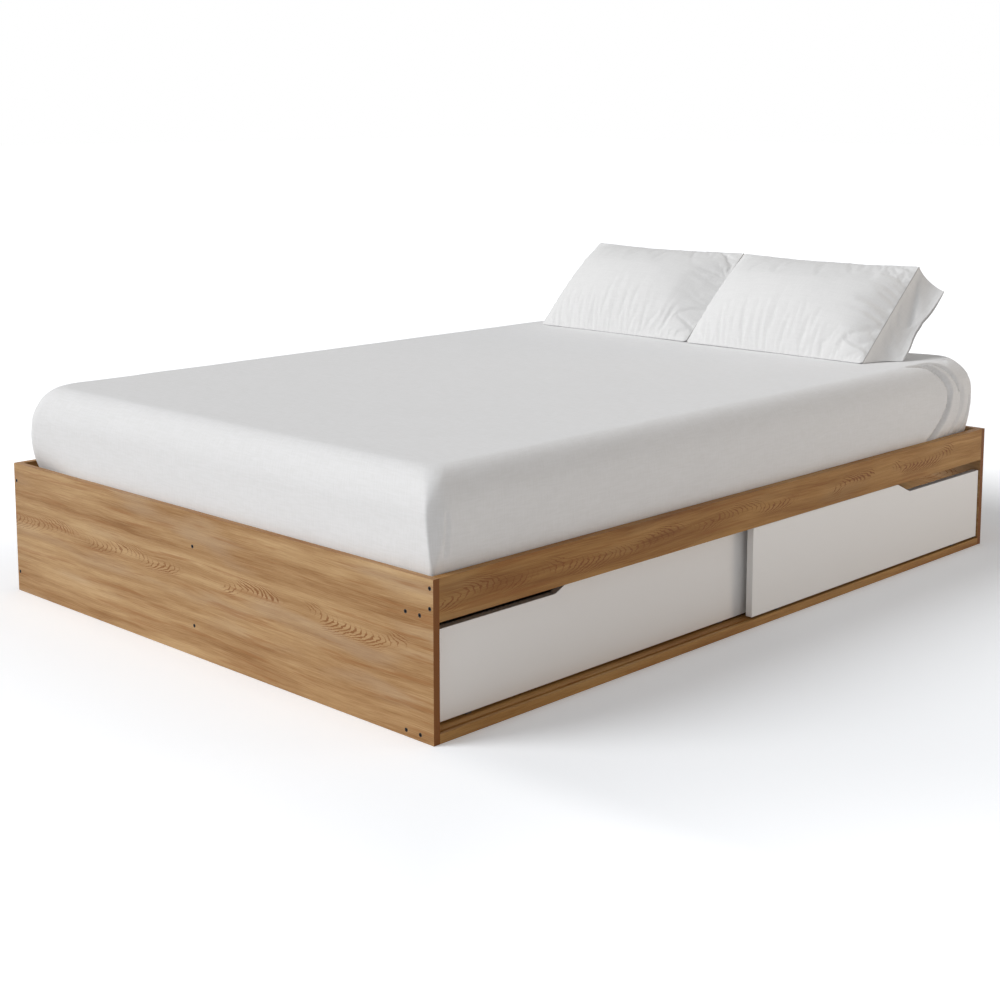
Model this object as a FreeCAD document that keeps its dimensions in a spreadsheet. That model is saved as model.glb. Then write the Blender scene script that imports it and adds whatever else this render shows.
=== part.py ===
import FreeCAD, Part
import math
import os
import re
import Sketcher
from FreeCAD import Placement, Rotation, Vector

# A full-size platform storage bed: a board frame with two bypass sliding doors on its
# right side, a slatted deck, a mattress in a fitted sheet and two pillows in cases.
# Origin at the middle of the footprint on the floor. +Z is up, the foot of the bed is
# at -Y, the head at +Y and the sliding doors are on the +X side. Millimetres, degrees.

doc = FreeCAD.newDocument("platform_storage_bed")
sheet = doc.addObject("Spreadsheet::Sheet", "Sizes")

SIZES = {
    # Frame boards
    "frame_width": 1405, "frame_length": 1950, "frame_height": 303,
    "end_panel_thickness": 15, "side_panel_thickness": 18,
    "rail_thickness": 18, "rail_height": 80,
    "ledge_depth": 72, "ledge_thickness": 18,
    "base_depth": 107, "base_thickness": 18,
    # Beam under the middle of the slats, set back from the door side to its centre
    "beam_setback": 711, "beam_web_thickness": 18, "beam_cap_width": 72,
    # Partition between the two storage bays
    "partition_thickness": 18, "partition_door_gap": 4,
    # Slats and the cleat that carries them on the closed side
    "cleat_thickness": 18, "cleat_height": 40,
    "slat_width": 70, "slat_thickness": 18, "slat_end_gap": 2,
    # Sliding doors, measured back from the face of the door side
    "door_length": 977, "door_thickness": 16,
    "front_door_setback": 3, "door_plane_spacing": 31,
    "door_bottom_gap": 5, "door_top_gap": 1.5, "door_end_gap": 4.5,
    "finger_depth": 25, "finger_length": 335, "finger_slant": 55, "finger_radius": 12,
    # Guide tongues on the doors' top edges and the grooves that they run in
    "guide_length": 30, "guide_thickness": 4.6, "guide_root": 12, "guide_tip": 8,
    "guide_chamfer": 2.5, "guide_inset": 50, "top_groove_width": 6, "top_groove_depth": 10,
    # Rollers in the doors' bottom edges and the tracks routed in the base board
    "wheel_mortise_inset": 90, "housing_length": 34, "housing_width": 10, "housing_height": 17,
    "wheel_well_length": 24, "wheel_well_width": 6.4, "wheel_well_height": 14,
    "wheel_diameter": 20, "wheel_width": 5, "wheel_chamfer": 0.8,
    "axle_diameter": 3, "axle_clearance": 0.05,
    "track_width": 7, "track_depth": 3, "wheel_track_gap": 0.3,
    # Screws through the end panels
    "screw_head_diameter": 8, "screw_head_height": 2, "screw_shank_diameter": 5,
    "screw_length": 50, "hex_circumradius": 2.3, "hex_depth": 3,
    "screw_inset": 17, "screw_spacing": 37, "base_screw_height": 12, "web_screw_height": 65,
    "side_screw_top_inset": 41, "side_screw_bottom_inset": 46,
    # Mattress and its fitted sheet, which fill the frame but for a gap all round
    "mattress_side_gap": 2, "mattress_end_gap": 2.5, "mattress_thickness": 222,
    "mattress_corner_radius": 60, "mattress_edge_rounding": 42,
    "bedding_thickness": 1.5, "sheet_hem_width": 90, "soft_gap": 0.3,
    # Pillows leaning back towards the head, and their open-ended cases
    "pillow_height": 345, "pillow_lean_angle": 39, "pillow_front_crown": 70,
    "pillow_back_crown": 110, "pillow_drawn_in": 9, "pillow_edge": 8,
    "pillow_corner_radius": 6, "pillow_seam_lift": 3,
    "left_pillow_length": 526, "left_pillow_inset": 136, "left_pillow_setback": 300,
    "right_pillow_length": 561, "right_pillow_inset": 678, "right_pillow_setback": 310,
    "left_flap_length": 10, "right_flap_length": 47, "flap_hem_height": 230,
    "flap_hem_rise": 42, "flap_drop": 69, "flap_mouth": 16,
    # One overrun lets every cut pass its surface, and one tolerance finds an edge
    "cut_overrun": 1, "point_tolerance": 0.001,
}

SLAT_COUNT = 14
HEXAGON_SIDES = 6
START_LENGTH = 1.0  # a sketch dimension until its formula sets it

for row, (alias, number) in enumerate(SIZES.items(), start=1):
    sheet.set(f"A{row}", alias)
    sheet.set(f"B{row}", str(number))
    sheet.setAlias(f"B{row}", alias)
doc.recompute()

# Formulas that several pieces share, written in the sheet's words
INNER_LENGTH = "(frame_length - 2 * end_panel_thickness)"
INNER_FOOT = "(end_panel_thickness - frame_length / 2)"
DOOR_SIDE = "(frame_width / 2)"
CLOSED_SIDE = "(-frame_width / 2)"
LEDGE_UNDERSIDE = "(frame_height - rail_height)"
DECK_SEAT = "(frame_height - rail_height + ledge_thickness)"
BEAM_CENTRE = "(frame_width / 2 - beam_setback)"
FRONT_DOOR_CENTRE = "(frame_width / 2 - front_door_setback - door_thickness / 2)"
REAR_DOOR_CENTRE = "(frame_width / 2 - front_door_setback - door_plane_spacing - door_thickness / 2)"
DOOR_BOTTOM = "(base_thickness + door_bottom_gap)"
DOOR_HEIGHT = ("(frame_height - rail_height - door_top_gap"
               " - base_thickness - door_bottom_gap)")
SUBPARTS = []


def value(alias):
    """Return one size from the sheet."""
    return float(sheet.get(alias))


def formula(words):
    """Point each word of a formula at its cell in the sheet."""
    return re.sub(r"[a-z][a-z_]+", lambda word: "Sizes." + word.group(0), words)


def bind(piece, **formulas):
    """Drive a piece's properties by formulas in the sheet's words."""
    for name, words in formulas.items():
        piece.setExpression(name, formula(words))


def place(piece, corner):
    """Drive a piece's position by three formulas."""
    for axis, words in zip("xyz", corner):
        piece.setExpression("Placement.Base." + axis, formula(words))


def subpart(piece, label):
    """Name a finished piece; its label is the name of its file."""
    piece.Label = label
    SUBPARTS.append(piece)
    return piece


def box(name, size, corner):
    """A board or a cutting block from its three sizes and its lowest corner."""
    block = doc.addObject("Part::Box", name)
    bind(block, Length=size[0], Width=size[1], Height=size[2])
    place(block, corner)
    return block


def cylinder(name, diameter, length, centre, axis, turn):
    """A round piece that starts at centre and runs along +Z turned about an axis."""
    rod = doc.addObject("Part::Cylinder", name)
    rod.Placement = Placement(Vector(), Rotation(axis, turn))
    bind(rod, Radius=diameter + " / 2", Height=length)
    place(rod, centre)
    return rod


def group(name, pieces):
    """Several tools or solids as one compound."""
    bundle = doc.addObject("Part::Compound", name)
    bundle.Links = pieces
    return bundle


def fuse(name, pieces):
    """Several overlapping solids as one shape."""
    union = doc.addObject("Part::MultiFuse", name)
    union.Shapes = pieces
    return union


def cut(name, base, tool):
    """A base shape less a tool."""
    result = doc.addObject("Part::Cut", name)
    result.Base = base
    result.Tool = tool
    return result


def outline(body, plane, points, name, height=None):
    """A closed sketch through points given as pairs of formulas, on an origin plane."""
    sketch = body.newObject("Sketcher::SketchObject", name)
    support = next(item for item in body.Origin.OriginFeatures if item.Role == plane)
    sketch.AttachmentSupport = [(support, "")]
    sketch.MapMode = "FlatFace"
    if height:
        sketch.setExpression("AttachmentOffset.Base.z", formula(height))
    for loop in points:
        first = sketch.GeometryCount
        count = len(loop)
        start = [Rotation(Vector(0, 0, 1), 360 * index / count).multVec(Vector(1, 0, 0))
                 for index in range(count)]
        for index in range(count):
            side = Part.LineSegment(start[index], start[(index + 1) % count])
            sketch.addGeometry(side, False)
        for index in range(count):
            following = first + (index + 1) % count
            sketch.addConstraint(
                Sketcher.Constraint("Coincident", first + index, 2, following, 1))
        for index, corner in enumerate(loop):
            for words, kind, axis in zip(corner, ("DistanceX", "DistanceY"), (-2, -1)):
                line = first + index
                if words == "0":
                    sketch.addConstraint(Sketcher.Constraint("PointOnObject", line, 1, axis))
                    continue
                number = sketch.addConstraint(
                    Sketcher.Constraint(kind, -1, 1, line, 1, START_LENGTH))
                sketch.setExpression(f"Constraints[{number}]", formula(words))
    return sketch


def rectangle(low, high):
    """The four corners of a rectangle between two pairs of formulas."""
    return [low, (high[0], low[1]), high, (low[0], high[1])]


# Screws through the end panels, listed for one end as x and z formulas
SCREW_PLACES = [
    (DOOR_SIDE + " - rail_thickness / 2", "frame_height - screw_inset"),
    (DOOR_SIDE + " - rail_thickness / 2", "frame_height - screw_inset - screw_spacing"),
    (DOOR_SIDE + " - rail_thickness - screw_inset", LEDGE_UNDERSIDE + " + ledge_thickness / 2"),
    (DOOR_SIDE + " - rail_thickness - screw_inset - screw_spacing",
     LEDGE_UNDERSIDE + " + ledge_thickness / 2"),
    (DOOR_SIDE + " - rail_thickness - screw_inset", "base_screw_height"),
    (DOOR_SIDE + " - rail_thickness - screw_inset - screw_spacing", "base_screw_height"),
    (BEAM_CENTRE, LEDGE_UNDERSIDE + " + ledge_thickness / 2"),
    (BEAM_CENTRE, "web_screw_height"),
    (CLOSED_SIDE + " + side_panel_thickness / 2", "frame_height - side_screw_top_inset"),
    (CLOSED_SIDE + " + side_panel_thickness / 2", "side_screw_bottom_inset"),
]


def panel_screws(end, outer_face, turn):
    """The screws of one end panel, whole as a tool and with their hexagon recesses."""
    across = Vector(1, 0, 0)
    rods = []
    recesses = []
    for index, (x, z) in enumerate(SCREW_PLACES, start=1):
        seat = (x, outer_face, z)
        rods.append(cylinder(f"{end}_head_{index}", "screw_head_diameter",
                             "screw_head_height", seat, across, turn))
        rods.append(cylinder(f"{end}_shank_{index}", "screw_shank_diameter",
                             "screw_length", seat, across, turn))
        recess = doc.addObject("Part::Prism", f"{end}_recess_{index}")
        recess.Polygon = HEXAGON_SIDES
        recess.Placement = Placement(Vector(), Rotation(across, turn))
        bind(recess, Circumradius="hex_circumradius", Height="hex_depth")
        place(recess, seat)
        recesses.append(recess)
    blanks = fuse(end + "_screw_blanks", rods)
    screws = cut(end + "_screws", blanks, group(end + "_recesses", recesses))
    subpart(screws, end + "_panel_screws")
    return blanks


foot_screws = panel_screws("foot", "-frame_length / 2", -90)
head_screws = panel_screws("head", "frame_length / 2", 90)


def board(label, size, corner, tools):
    """A frame board with its screw holes and any grooves cut out of it."""
    blank = box(label + "_blank", size, corner)
    cutter = group(label + "_cutter", [*tools]) if len(tools) > 1 else tools[0]
    return subpart(cut(label + "_cut", blank, cutter), label)


# Grooves run the inner length of the boards, centred on each door's plane
def groove(name, centre, width, depth, low):
    """A groove tool along the whole bed, from low upwards by its depth."""
    return box(name, (width, INNER_LENGTH + " + 2 * cut_overrun", depth),
               (f"{centre} - {width} / 2", INNER_FOOT + " - cut_overrun", low))


front_top_groove = groove("front_top_groove", FRONT_DOOR_CENTRE, "top_groove_width",
                          "(top_groove_depth + cut_overrun)",
                          LEDGE_UNDERSIDE + " - cut_overrun")
rear_top_groove = groove("rear_top_groove", REAR_DOOR_CENTRE, "top_groove_width",
                         "(top_groove_depth + cut_overrun)",
                         LEDGE_UNDERSIDE + " - cut_overrun")
front_track = groove("front_track", FRONT_DOOR_CENTRE, "track_width",
                     "(track_depth + cut_overrun)", "base_thickness - track_depth")
rear_track = groove("rear_track", REAR_DOOR_CENTRE, "track_width",
                    "(track_depth + cut_overrun)", "base_thickness - track_depth")

# End panels cover the ends of every other board and run to the floor
board("foot_panel", ("frame_width", "end_panel_thickness", "frame_height"),
      (CLOSED_SIDE, "-frame_length / 2", "0"), [foot_screws])
board("head_panel", ("frame_width", "end_panel_thickness", "frame_height"),
      (CLOSED_SIDE, "frame_length / 2 - end_panel_thickness", "0"), [head_screws])
board("left_side_panel", ("side_panel_thickness", INNER_LENGTH, "frame_height"),
      (CLOSED_SIDE, INNER_FOOT, "0"), [foot_screws, head_screws])

# Rail and boards of the door side
board("right_top_rail", ("rail_thickness", INNER_LENGTH, "rail_height"),
      (DOOR_SIDE + " - rail_thickness", INNER_FOOT, LEDGE_UNDERSIDE),
      [foot_screws, head_screws, front_top_groove])
board("ledge_board", ("ledge_depth", INNER_LENGTH, "ledge_thickness"),
      (DOOR_SIDE + " - rail_thickness - ledge_depth", INNER_FOOT, LEDGE_UNDERSIDE),
      [foot_screws, head_screws, rear_top_groove])
board("base_board", ("base_depth", INNER_LENGTH, "base_thickness"),
      (DOOR_SIDE + " - base_depth", INNER_FOOT, "0"),
      [foot_screws, head_screws, front_track, rear_track])

# T-shaped beam: a web that stands on the floor, and a cap level with the ledge
board("centre_beam_web", ("beam_web_thickness", INNER_LENGTH, LEDGE_UNDERSIDE),
      (BEAM_CENTRE + " - beam_web_thickness / 2", INNER_FOOT, "0"),
      [foot_screws, head_screws])
board("centre_beam_cap", ("beam_cap_width", INNER_LENGTH, "ledge_thickness"),
      (BEAM_CENTRE + " - beam_cap_width / 2", INNER_FOOT, LEDGE_UNDERSIDE),
      [foot_screws, head_screws])

# Cleat on the closed side, its top level with the ledge
subpart(box("left_slat_cleat", ("cleat_thickness", INNER_LENGTH, "cleat_height"),
            (CLOSED_SIDE + " + side_panel_thickness", INNER_FOOT, DECK_SEAT + " - cleat_height")),
        "left_slat_cleat")


def storage_partition():
    """A cross board from the beam to just behind the rear door, notched over the base."""
    body = doc.addObject("PartDesign::Body", "partition_body")
    depth = ("(beam_setback - beam_web_thickness / 2 - front_door_setback - door_plane_spacing"
             " - door_thickness - partition_door_gap)")
    notch = "(beam_setback - beam_web_thickness / 2 - base_depth)"
    corners = [("0", "0"), (notch, "0"), (notch, "base_thickness"), (depth, "base_thickness"),
               (depth, LEDGE_UNDERSIDE), ("0", LEDGE_UNDERSIDE)]
    sketch = outline(body, "XZ_Plane", [corners], "partition_outline")
    pad = body.newObject("PartDesign::Pad", "partition_pad")
    pad.Profile = sketch
    pad.Midplane = True
    bind(pad, Length="partition_thickness")
    place(body, (BEAM_CENTRE + " + beam_web_thickness / 2", "0", "0"))
    subpart(body, "storage_partition")


storage_partition()

# Slats lie on the cleat, the beam cap and the ledge board at an even pitch
for number in range(1, SLAT_COUNT + 1):
    middle = f"({INNER_FOOT} + {INNER_LENGTH} * {2 * number - 1} / {2 * SLAT_COUNT})"
    slat = box(f"slat_{number:02d}",
               ("frame_width - side_panel_thickness - rail_thickness - 2 * slat_end_gap",
                "slat_width", "slat_thickness"),
               (CLOSED_SIDE + " + side_panel_thickness + slat_end_gap",
                middle + " - slat_width / 2", DECK_SEAT))
    subpart(slat, f"slat_{number:02d}")


def edges_across(shape, y, z):
    """Names of the edges that run along X through a point of the door's outline."""
    line = Part.makeLine(Vector(-value("cut_overrun"), y, z),
                         Vector(value("door_thickness") + value("cut_overrun"), y, z))
    return [f"Edge{index}" for index, edge in enumerate(shape.Edges, start=1)
            if all(line.isInside(end.Point, value("point_tolerance"), True)
                   for end in edge.Vertexes)]


def door_places(side):
    """Where a door's rollers and guides sit along it, from its own foot end."""
    plain_end = "(finger_length + finger_slant)"
    if side == "right":
        guides = ("guide_inset", f"(door_length - {plain_end} - guide_inset - guide_length)")
    else:
        guides = (f"({plain_end} + guide_inset)", "(door_length - guide_inset - guide_length)")
    rollers = ("wheel_mortise_inset", "(door_length - wheel_mortise_inset - housing_length)")
    return guides, rollers


def door_panel(side, centre, foot_end):
    """A door board with its finger cut-out, roller mortises and guide slots."""
    body = doc.addObject("PartDesign::Body", side + "_door_body")
    top = DOOR_HEIGHT
    dip = f"({DOOR_HEIGHT} - finger_depth)"
    if side == "right":
        corners = [("0", "0"), ("door_length", "0"), ("door_length", dip),
                   ("door_length - finger_length", dip),
                   ("door_length - finger_length - finger_slant", top), ("0", top)]
        soft = [(value("door_length") - value("finger_length"), False),
                (value("door_length") - value("finger_length") - value("finger_slant"), True)]
    else:
        corners = [("0", "0"), ("door_length", "0"), ("door_length", top),
                   ("finger_length + finger_slant", top), ("finger_length", dip), ("0", dip)]
        soft = [(value("finger_length"), False),
                (value("finger_length") + value("finger_slant"), True)]
    sketch = outline(body, "YZ_Plane", [corners], side + "_door_outline")
    pad = body.newObject("PartDesign::Pad", side + "_door_pad")
    pad.Profile = sketch
    bind(pad, Length="door_thickness")
    doc.recompute()

    full = pad.Shape.BoundBox.ZMax
    names = []
    for y, at_top in soft:
        names += edges_across(pad.Shape, y, full if at_top else full - value("finger_depth"))
    rounding = body.newObject("PartDesign::Fillet", side + "_door_finger_rounding")
    rounding.Base = (pad, names)
    bind(rounding, Radius="finger_radius")

    guides, rollers = door_places(side)
    mortises = [rectangle(("(door_thickness - housing_width) / 2", low),
                          ("(door_thickness + housing_width) / 2", low + " + housing_length"))
                for low in rollers]
    mortise = body.newObject("PartDesign::Pocket", side + "_door_mortises")
    mortise.Profile = outline(body, "XY_Plane", mortises, side + "_mortise_outline")
    mortise.Reversed = True
    bind(mortise, Length="housing_height")

    slots = [rectangle(("(door_thickness - guide_thickness) / 2", low),
                       ("(door_thickness + guide_thickness) / 2", low + " + guide_length"))
             for low in guides]
    slot = body.newObject("PartDesign::Pocket", side + "_door_guide_slots")
    slot.Profile = outline(body, "XY_Plane", slots, side + "_slot_outline", DOOR_HEIGHT)
    bind(slot, Length="guide_root")
    body.Tip = slot
    place(body, (centre + " - door_thickness / 2", foot_end, DOOR_BOTTOM))
    subpart(body, side + "_door_panel")
    for end, low in zip(("foot", "head"), guides):
        door_guide(f"{side}_door_{end}_guide", centre, f"{foot_end} + {low}")
    for end, low in zip(("foot", "head"), rollers):
        door_roller(f"{side}_door_{end}", centre, f"{foot_end} + {low}")


def door_guide(label, centre, low):
    """A plastic tongue let into a door's top edge, with chamfered upper corners."""
    body = doc.addObject("PartDesign::Body", label + "_body")
    tall = "(guide_root + guide_tip)"
    corners = [("0", "0"), ("guide_length", "0"), ("guide_length", tall + " - guide_chamfer"),
               ("guide_length - guide_chamfer", tall), ("guide_chamfer", tall),
               ("0", tall + " - guide_chamfer")]
    pad = body.newObject("PartDesign::Pad", label + "_pad")
    pad.Profile = outline(body, "YZ_Plane", [corners], label + "_outline")
    bind(pad, Length="guide_thickness")
    place(body, (centre + " - guide_thickness / 2", low,
                 f"{DOOR_BOTTOM} + {DOOR_HEIGHT} - guide_root"))
    subpart(body, label)


def door_roller(label, centre, low):
    """A housing let into a door's bottom edge, its axle and its wheel."""
    across = Vector(0, 1, 0)
    hub_height = "(base_thickness - track_depth + wheel_track_gap + wheel_diameter / 2)"
    hub = f"({low} + housing_length / 2)"
    block = box(label + "_block", ("housing_width", "housing_length", "housing_height"),
                (centre + " - housing_width / 2", low, DOOR_BOTTOM))
    well = box(label + "_well",
               ("wheel_well_width", "wheel_well_length", "(wheel_well_height + cut_overrun)"),
               (centre + " - wheel_well_width / 2", hub + " - wheel_well_length / 2",
                DOOR_BOTTOM + " - cut_overrun"))
    axle = cylinder(label + "_axle_rod", "axle_diameter", "housing_width",
                    (centre + " - housing_width / 2", hub, hub_height), across, 90)
    housing = cut(label + "_housing_cut", block, group(label + "_cutter", [well, axle]))
    subpart(housing, label + "_roller_housing")
    subpart(axle, label + "_roller_axle")

    wheel = doc.addObject("PartDesign::Body", label + "_wheel_body")
    bore = "(axle_diameter / 2 + axle_clearance)"
    tread = "(wheel_diameter / 2)"
    section = [("0", bore), ("wheel_width", bore), ("wheel_width", tread + " - wheel_chamfer"),
               ("wheel_width - wheel_chamfer", tread), ("wheel_chamfer", tread),
               ("0", tread + " - wheel_chamfer")]
    turned = wheel.newObject("PartDesign::Revolution", label + "_wheel_turned")
    profile = outline(wheel, "XY_Plane", [section], label + "_wheel_section")
    turned.Profile = profile
    turned.ReferenceAxis = (profile, ["H_Axis"])
    turned.Angle = 360
    place(wheel, (centre + " - wheel_width / 2", hub, hub_height))
    subpart(wheel, label + "_wheel")


# The right door runs in the front plane and closes the head bay, the left door behind it
door_panel("right", FRONT_DOOR_CENTRE,
           "(frame_length / 2 - end_panel_thickness - door_end_gap - door_length)")
door_panel("left", REAR_DOOR_CENTRE, f"({INNER_FOOT} + door_end_gap)")

# Soft pieces are lofts, which read their sizes from the sheet
BEDDING = value("bedding_thickness")
DECK_TOP = (value("frame_height") - value("rail_height") + value("ledge_thickness")
            + value("slat_thickness"))
MATTRESS_TOP = DECK_TOP + value("soft_gap") + 2 * BEDDING + value("mattress_thickness")
MATTRESS_WIDTH = (value("frame_width") - value("side_panel_thickness")
                  - value("rail_thickness") - 2 * value("mattress_side_gap") - 2 * BEDDING)
MATTRESS_LENGTH = (value("frame_length") - 2 * value("end_panel_thickness")
                   - 2 * value("mattress_end_gap") - 2 * BEDDING)
MATTRESS_CENTRE = (value("side_panel_thickness") - value("rail_thickness")) / 2

# A mattress side, from its bottom to its top: height and inset as shares
MATTRESS_SIDE_SHARES = ((0.0, 1.0), (0.04, 0.55), (0.14, 0.2), (0.35, 0.0), (0.6, 0.0),
                        (0.74, 0.08), (0.84, 0.3), (0.91, 0.6), (0.96, 0.95),
                        (0.99, 1.35), (1.0, 1.7))

# A pillow's face, from its seam to its crown: height as a share of the crown, and insets
# as shares of half the length and half the height
CROWN_SHARES = ((0.0, 0.0, 0.0), (0.12, 0.01, 0.06), (0.3, 0.05, 0.16), (0.5, 0.13, 0.29),
                (0.7, 0.28, 0.45), (0.86, 0.48, 0.63), (0.96, 0.7, 0.8), (1.0, 0.88, 0.93))
CROWN_ROUND_SHARE = 0.7  # the crown's corner radius as a share of its outline's half width
CORNER_TURNS = (0, 30, 60, 90)
SIDE_SHARES = (0.25, 0.5, 0.75)

# The case's loose flap, from the pillow's end to its hem: shares of length and of drop
FLAP_SHARES = ((0.0, 0.0), (0.25, 0.2), (0.5, 0.44), (0.75, 0.71), (1.0, 1.0))


def rounded_rectangle(width, length, radius, height):
    """A flat rectangle of lines and corner arcs, centred on the Z axis."""
    half_w = width / 2
    half_l = length / 2
    lean = radius * (1 - 0.5 ** 0.5)
    edges = []
    for sx, sy in ((1, 1), (-1, 1), (-1, -1), (1, -1)):
        side = Vector(sx * half_w, sy * (half_l - radius), height)
        front = Vector(sx * (half_w - radius), sy * half_l, height)
        middle = Vector(sx * (half_w - lean), sy * (half_l - lean), height)
        ends = (side, front) if sx * sy > 0 else (front, side)
        edges.append(Part.Arc(ends[0], middle, ends[1]).toShape())
    joined = []
    for index, corner in enumerate(edges):
        following = edges[(index + 1) % len(edges)]
        joined.append(corner)
        joined.append(Part.makeLine(corner.Vertexes[-1].Point, following.Vertexes[0].Point))
    return Part.Wire(joined)


def mattress_form(extra):
    """The mattress grown by extra all round, its bottom at -extra."""
    sections = []
    tall = value("mattress_thickness") + 2 * extra
    for rise, inset in MATTRESS_SIDE_SHARES:
        drawn = 2 * inset * value("mattress_edge_rounding")
        sections.append(rounded_rectangle(MATTRESS_WIDTH + 2 * extra - drawn,
                                          MATTRESS_LENGTH + 2 * extra - drawn,
                                          value("mattress_corner_radius"),
                                          rise * tall - extra))
    return Part.makeLoft(sections, True, True)


def pillow_outline(long, tall, radius, level, bow):
    """Straight runs whose directions are the same at every level, so that the faces
    between two outlines are flat. The long sides draw in by bow times their run."""
    points = []
    run = long - 2 * radius
    for turn in (0, 90, 180, 270):
        for step in CORNER_TURNS:
            angle = math.radians(turn + step)
            points.append(Vector(math.copysign(run / 2, math.cos(math.radians(turn + 45)))
                                 + radius * math.cos(angle),
                                 math.copysign(tall / 2 - radius,
                                               math.sin(math.radians(turn + 45)))
                                 + radius * math.sin(angle), level))
        if turn in (0, 180):
            way = 1 if turn == 0 else -1
            for share in SIDE_SHARES:
                points.append(Vector(way * run * (0.5 - share),
                                     way * (tall / 2 - 4 * share * (1 - share) * bow * run),
                                     level))
    return points


def flat_loft(outlines):
    """A solid through outlines of as many points each, whose matching runs are parallel: one
    flat face between two runs, and one at each end."""
    faces = [Part.Face(Part.makePolygon(points + points[:1]))
             for points in (outlines[0], outlines[-1])]
    for low, high in zip(outlines, outlines[1:]):
        for index in range(len(low)):
            corners = [low[index - 1], low[index], high[index], high[index - 1]]
            faces.append(Part.Face(Part.makePolygon(corners + corners[:1])))
    return Part.Solid(Part.Shell(faces))


def pillow_form(length, extra):
    """A pillow grown by extra, centred on its seam: outlines stacked from its back crown
    to its front crown."""
    rows = [("back", row) for row in reversed(CROWN_SHARES)]
    rows += [("front", row) for row in CROWN_SHARES]
    sections = []
    for face, (rise, length_inset, height_inset) in rows:
        long = (length + 2 * extra) * (1 - length_inset)
        tall = (value("pillow_height") + 2 * extra) * (1 - height_inset)
        corner = value("pillow_corner_radius") + extra
        level = (value("pillow_edge") / 2 + extra
                 + rise * value("pillow_" + face + "_crown"))
        sections.append(pillow_outline(
            long, tall, corner + rise * (CROWN_ROUND_SHARE * min(long, tall) / 2 - corner),
            level if face == "front" else -level, value("pillow_drawn_in") / length))
    return flat_loft(sections)


def flap_section(x, height, thickness, rise, drop):
    """Two arcs that meet at the flap's upper and lower folds, moved up and back."""
    low = Vector(x, rise - height / 2, -drop)
    high = Vector(x, rise + height / 2, -drop)
    return Part.Wire([Part.Arc(low, Vector(x, rise, thickness / 2 - drop), high).toShape(),
                      Part.Arc(high, Vector(x, rise, -thickness / 2 - drop), low).toShape()])


def flap_form(side, wall, past):
    """The case's flap less a wall, from inside the case's filled end to its open hem; past
    lengthens its mouth."""
    start = value(side + "_pillow_length") / 2 - value("pillow_corner_radius")
    reach = value("pillow_corner_radius") + value(side + "_flap_length")
    sections = []
    for along, drop in FLAP_SHARES:
        height = (value("pillow_height")
                  + along * (value("flap_hem_height") - value("pillow_height")))
        mouth = value("pillow_edge") + along * (value("flap_mouth") - value("pillow_edge"))
        end = past if along == 1 else 0
        sections.append(flap_section(start + along * reach + end, height - 2 * wall,
                                     mouth + 2 * BEDDING - 2 * wall,
                                     along * value("flap_hem_rise"),
                                     drop * value("flap_drop")))
    return Part.makeLoft(sections, True, True)


def soft_piece(label, shape, at):
    """A lofted solid at its placement."""
    piece = doc.addObject("Part::Feature", label)
    piece.Shape = shape
    piece.Placement = at
    subpart(piece, label)


def bedding():
    """Mattress core and the fitted sheet round it, open below inside its hem."""
    at = Placement(Vector(MATTRESS_CENTRE, 0, DECK_TOP + value("soft_gap") + BEDDING), Rotation())
    core = mattress_form(0)
    hem = 2 * value("sheet_hem_width")
    width = MATTRESS_WIDTH - hem
    length = MATTRESS_LENGTH - hem
    opening = Part.Face(rounded_rectangle(width, length, value("mattress_corner_radius"),
                                          -2 * BEDDING)).extrude(Vector(0, 0, 3 * BEDDING))
    soft_piece("mattress", core, at)
    soft_piece("fitted_sheet", mattress_form(BEDDING).cut([core, opening]), at)


def pillow(side):
    """A pillow and its case, leaning back and flat where they rest on the mattress."""
    length = value(side + "_pillow_length")
    seam_x = value(side + "_pillow_inset") - value("frame_width") / 2
    seam_y = value("frame_length") / 2 - value(side + "_pillow_setback")
    seam_z = MATTRESS_TOP + value("pillow_seam_lift")
    turn = Rotation(Vector(1, 0, 0), value("pillow_lean_angle"))
    middle = turn.multVec(Vector(length / 2, value("pillow_height") / 2, 0))
    at = Placement(Vector(seam_x, seam_y, seam_z) + middle, turn)
    core = pillow_form(length, 0)
    cavity = flap_form(side, BEDDING, value("cut_overrun"))
    case = pillow_form(length, BEDDING).fuse(flap_form(side, 0, 0))
    for label, shape, lift in ((side + "_pillow", core, BEDDING),
                               (side + "_pillowcase", case.cut([core, cavity]), 0)):
        reach = value("frame_length")
        block = Part.makeBox(reach, reach, reach)
        block.Placement = Placement(
            Vector(-reach / 2, -reach / 2, MATTRESS_TOP + value("soft_gap") + lift - reach),
            Rotation())
        block.Placement = at.inverse().multiply(block.Placement)
        soft_piece(label, shape.cut(block), at)


bedding()
pillow("left")
pillow("right")

doc.recompute()
for item in doc.Objects:
    if "Invalid" in item.State or "Error" in item.State:
        raise RuntimeError(f"{item.Name} did not build: {item.State}")

os.makedirs("parts", exist_ok=True)
for piece in SUBPARTS:
    if piece.Shape.isNull() or not piece.Shape.isValid():
        raise RuntimeError(f"{piece.Label} has no valid shape")
    piece.Shape.exportStep(f"parts/{piece.Label}.step")
    print(piece.Label, len(piece.Shape.Solids), round(piece.Shape.Volume))
print(len(SUBPARTS), "sub-parts")
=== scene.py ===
import math

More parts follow.
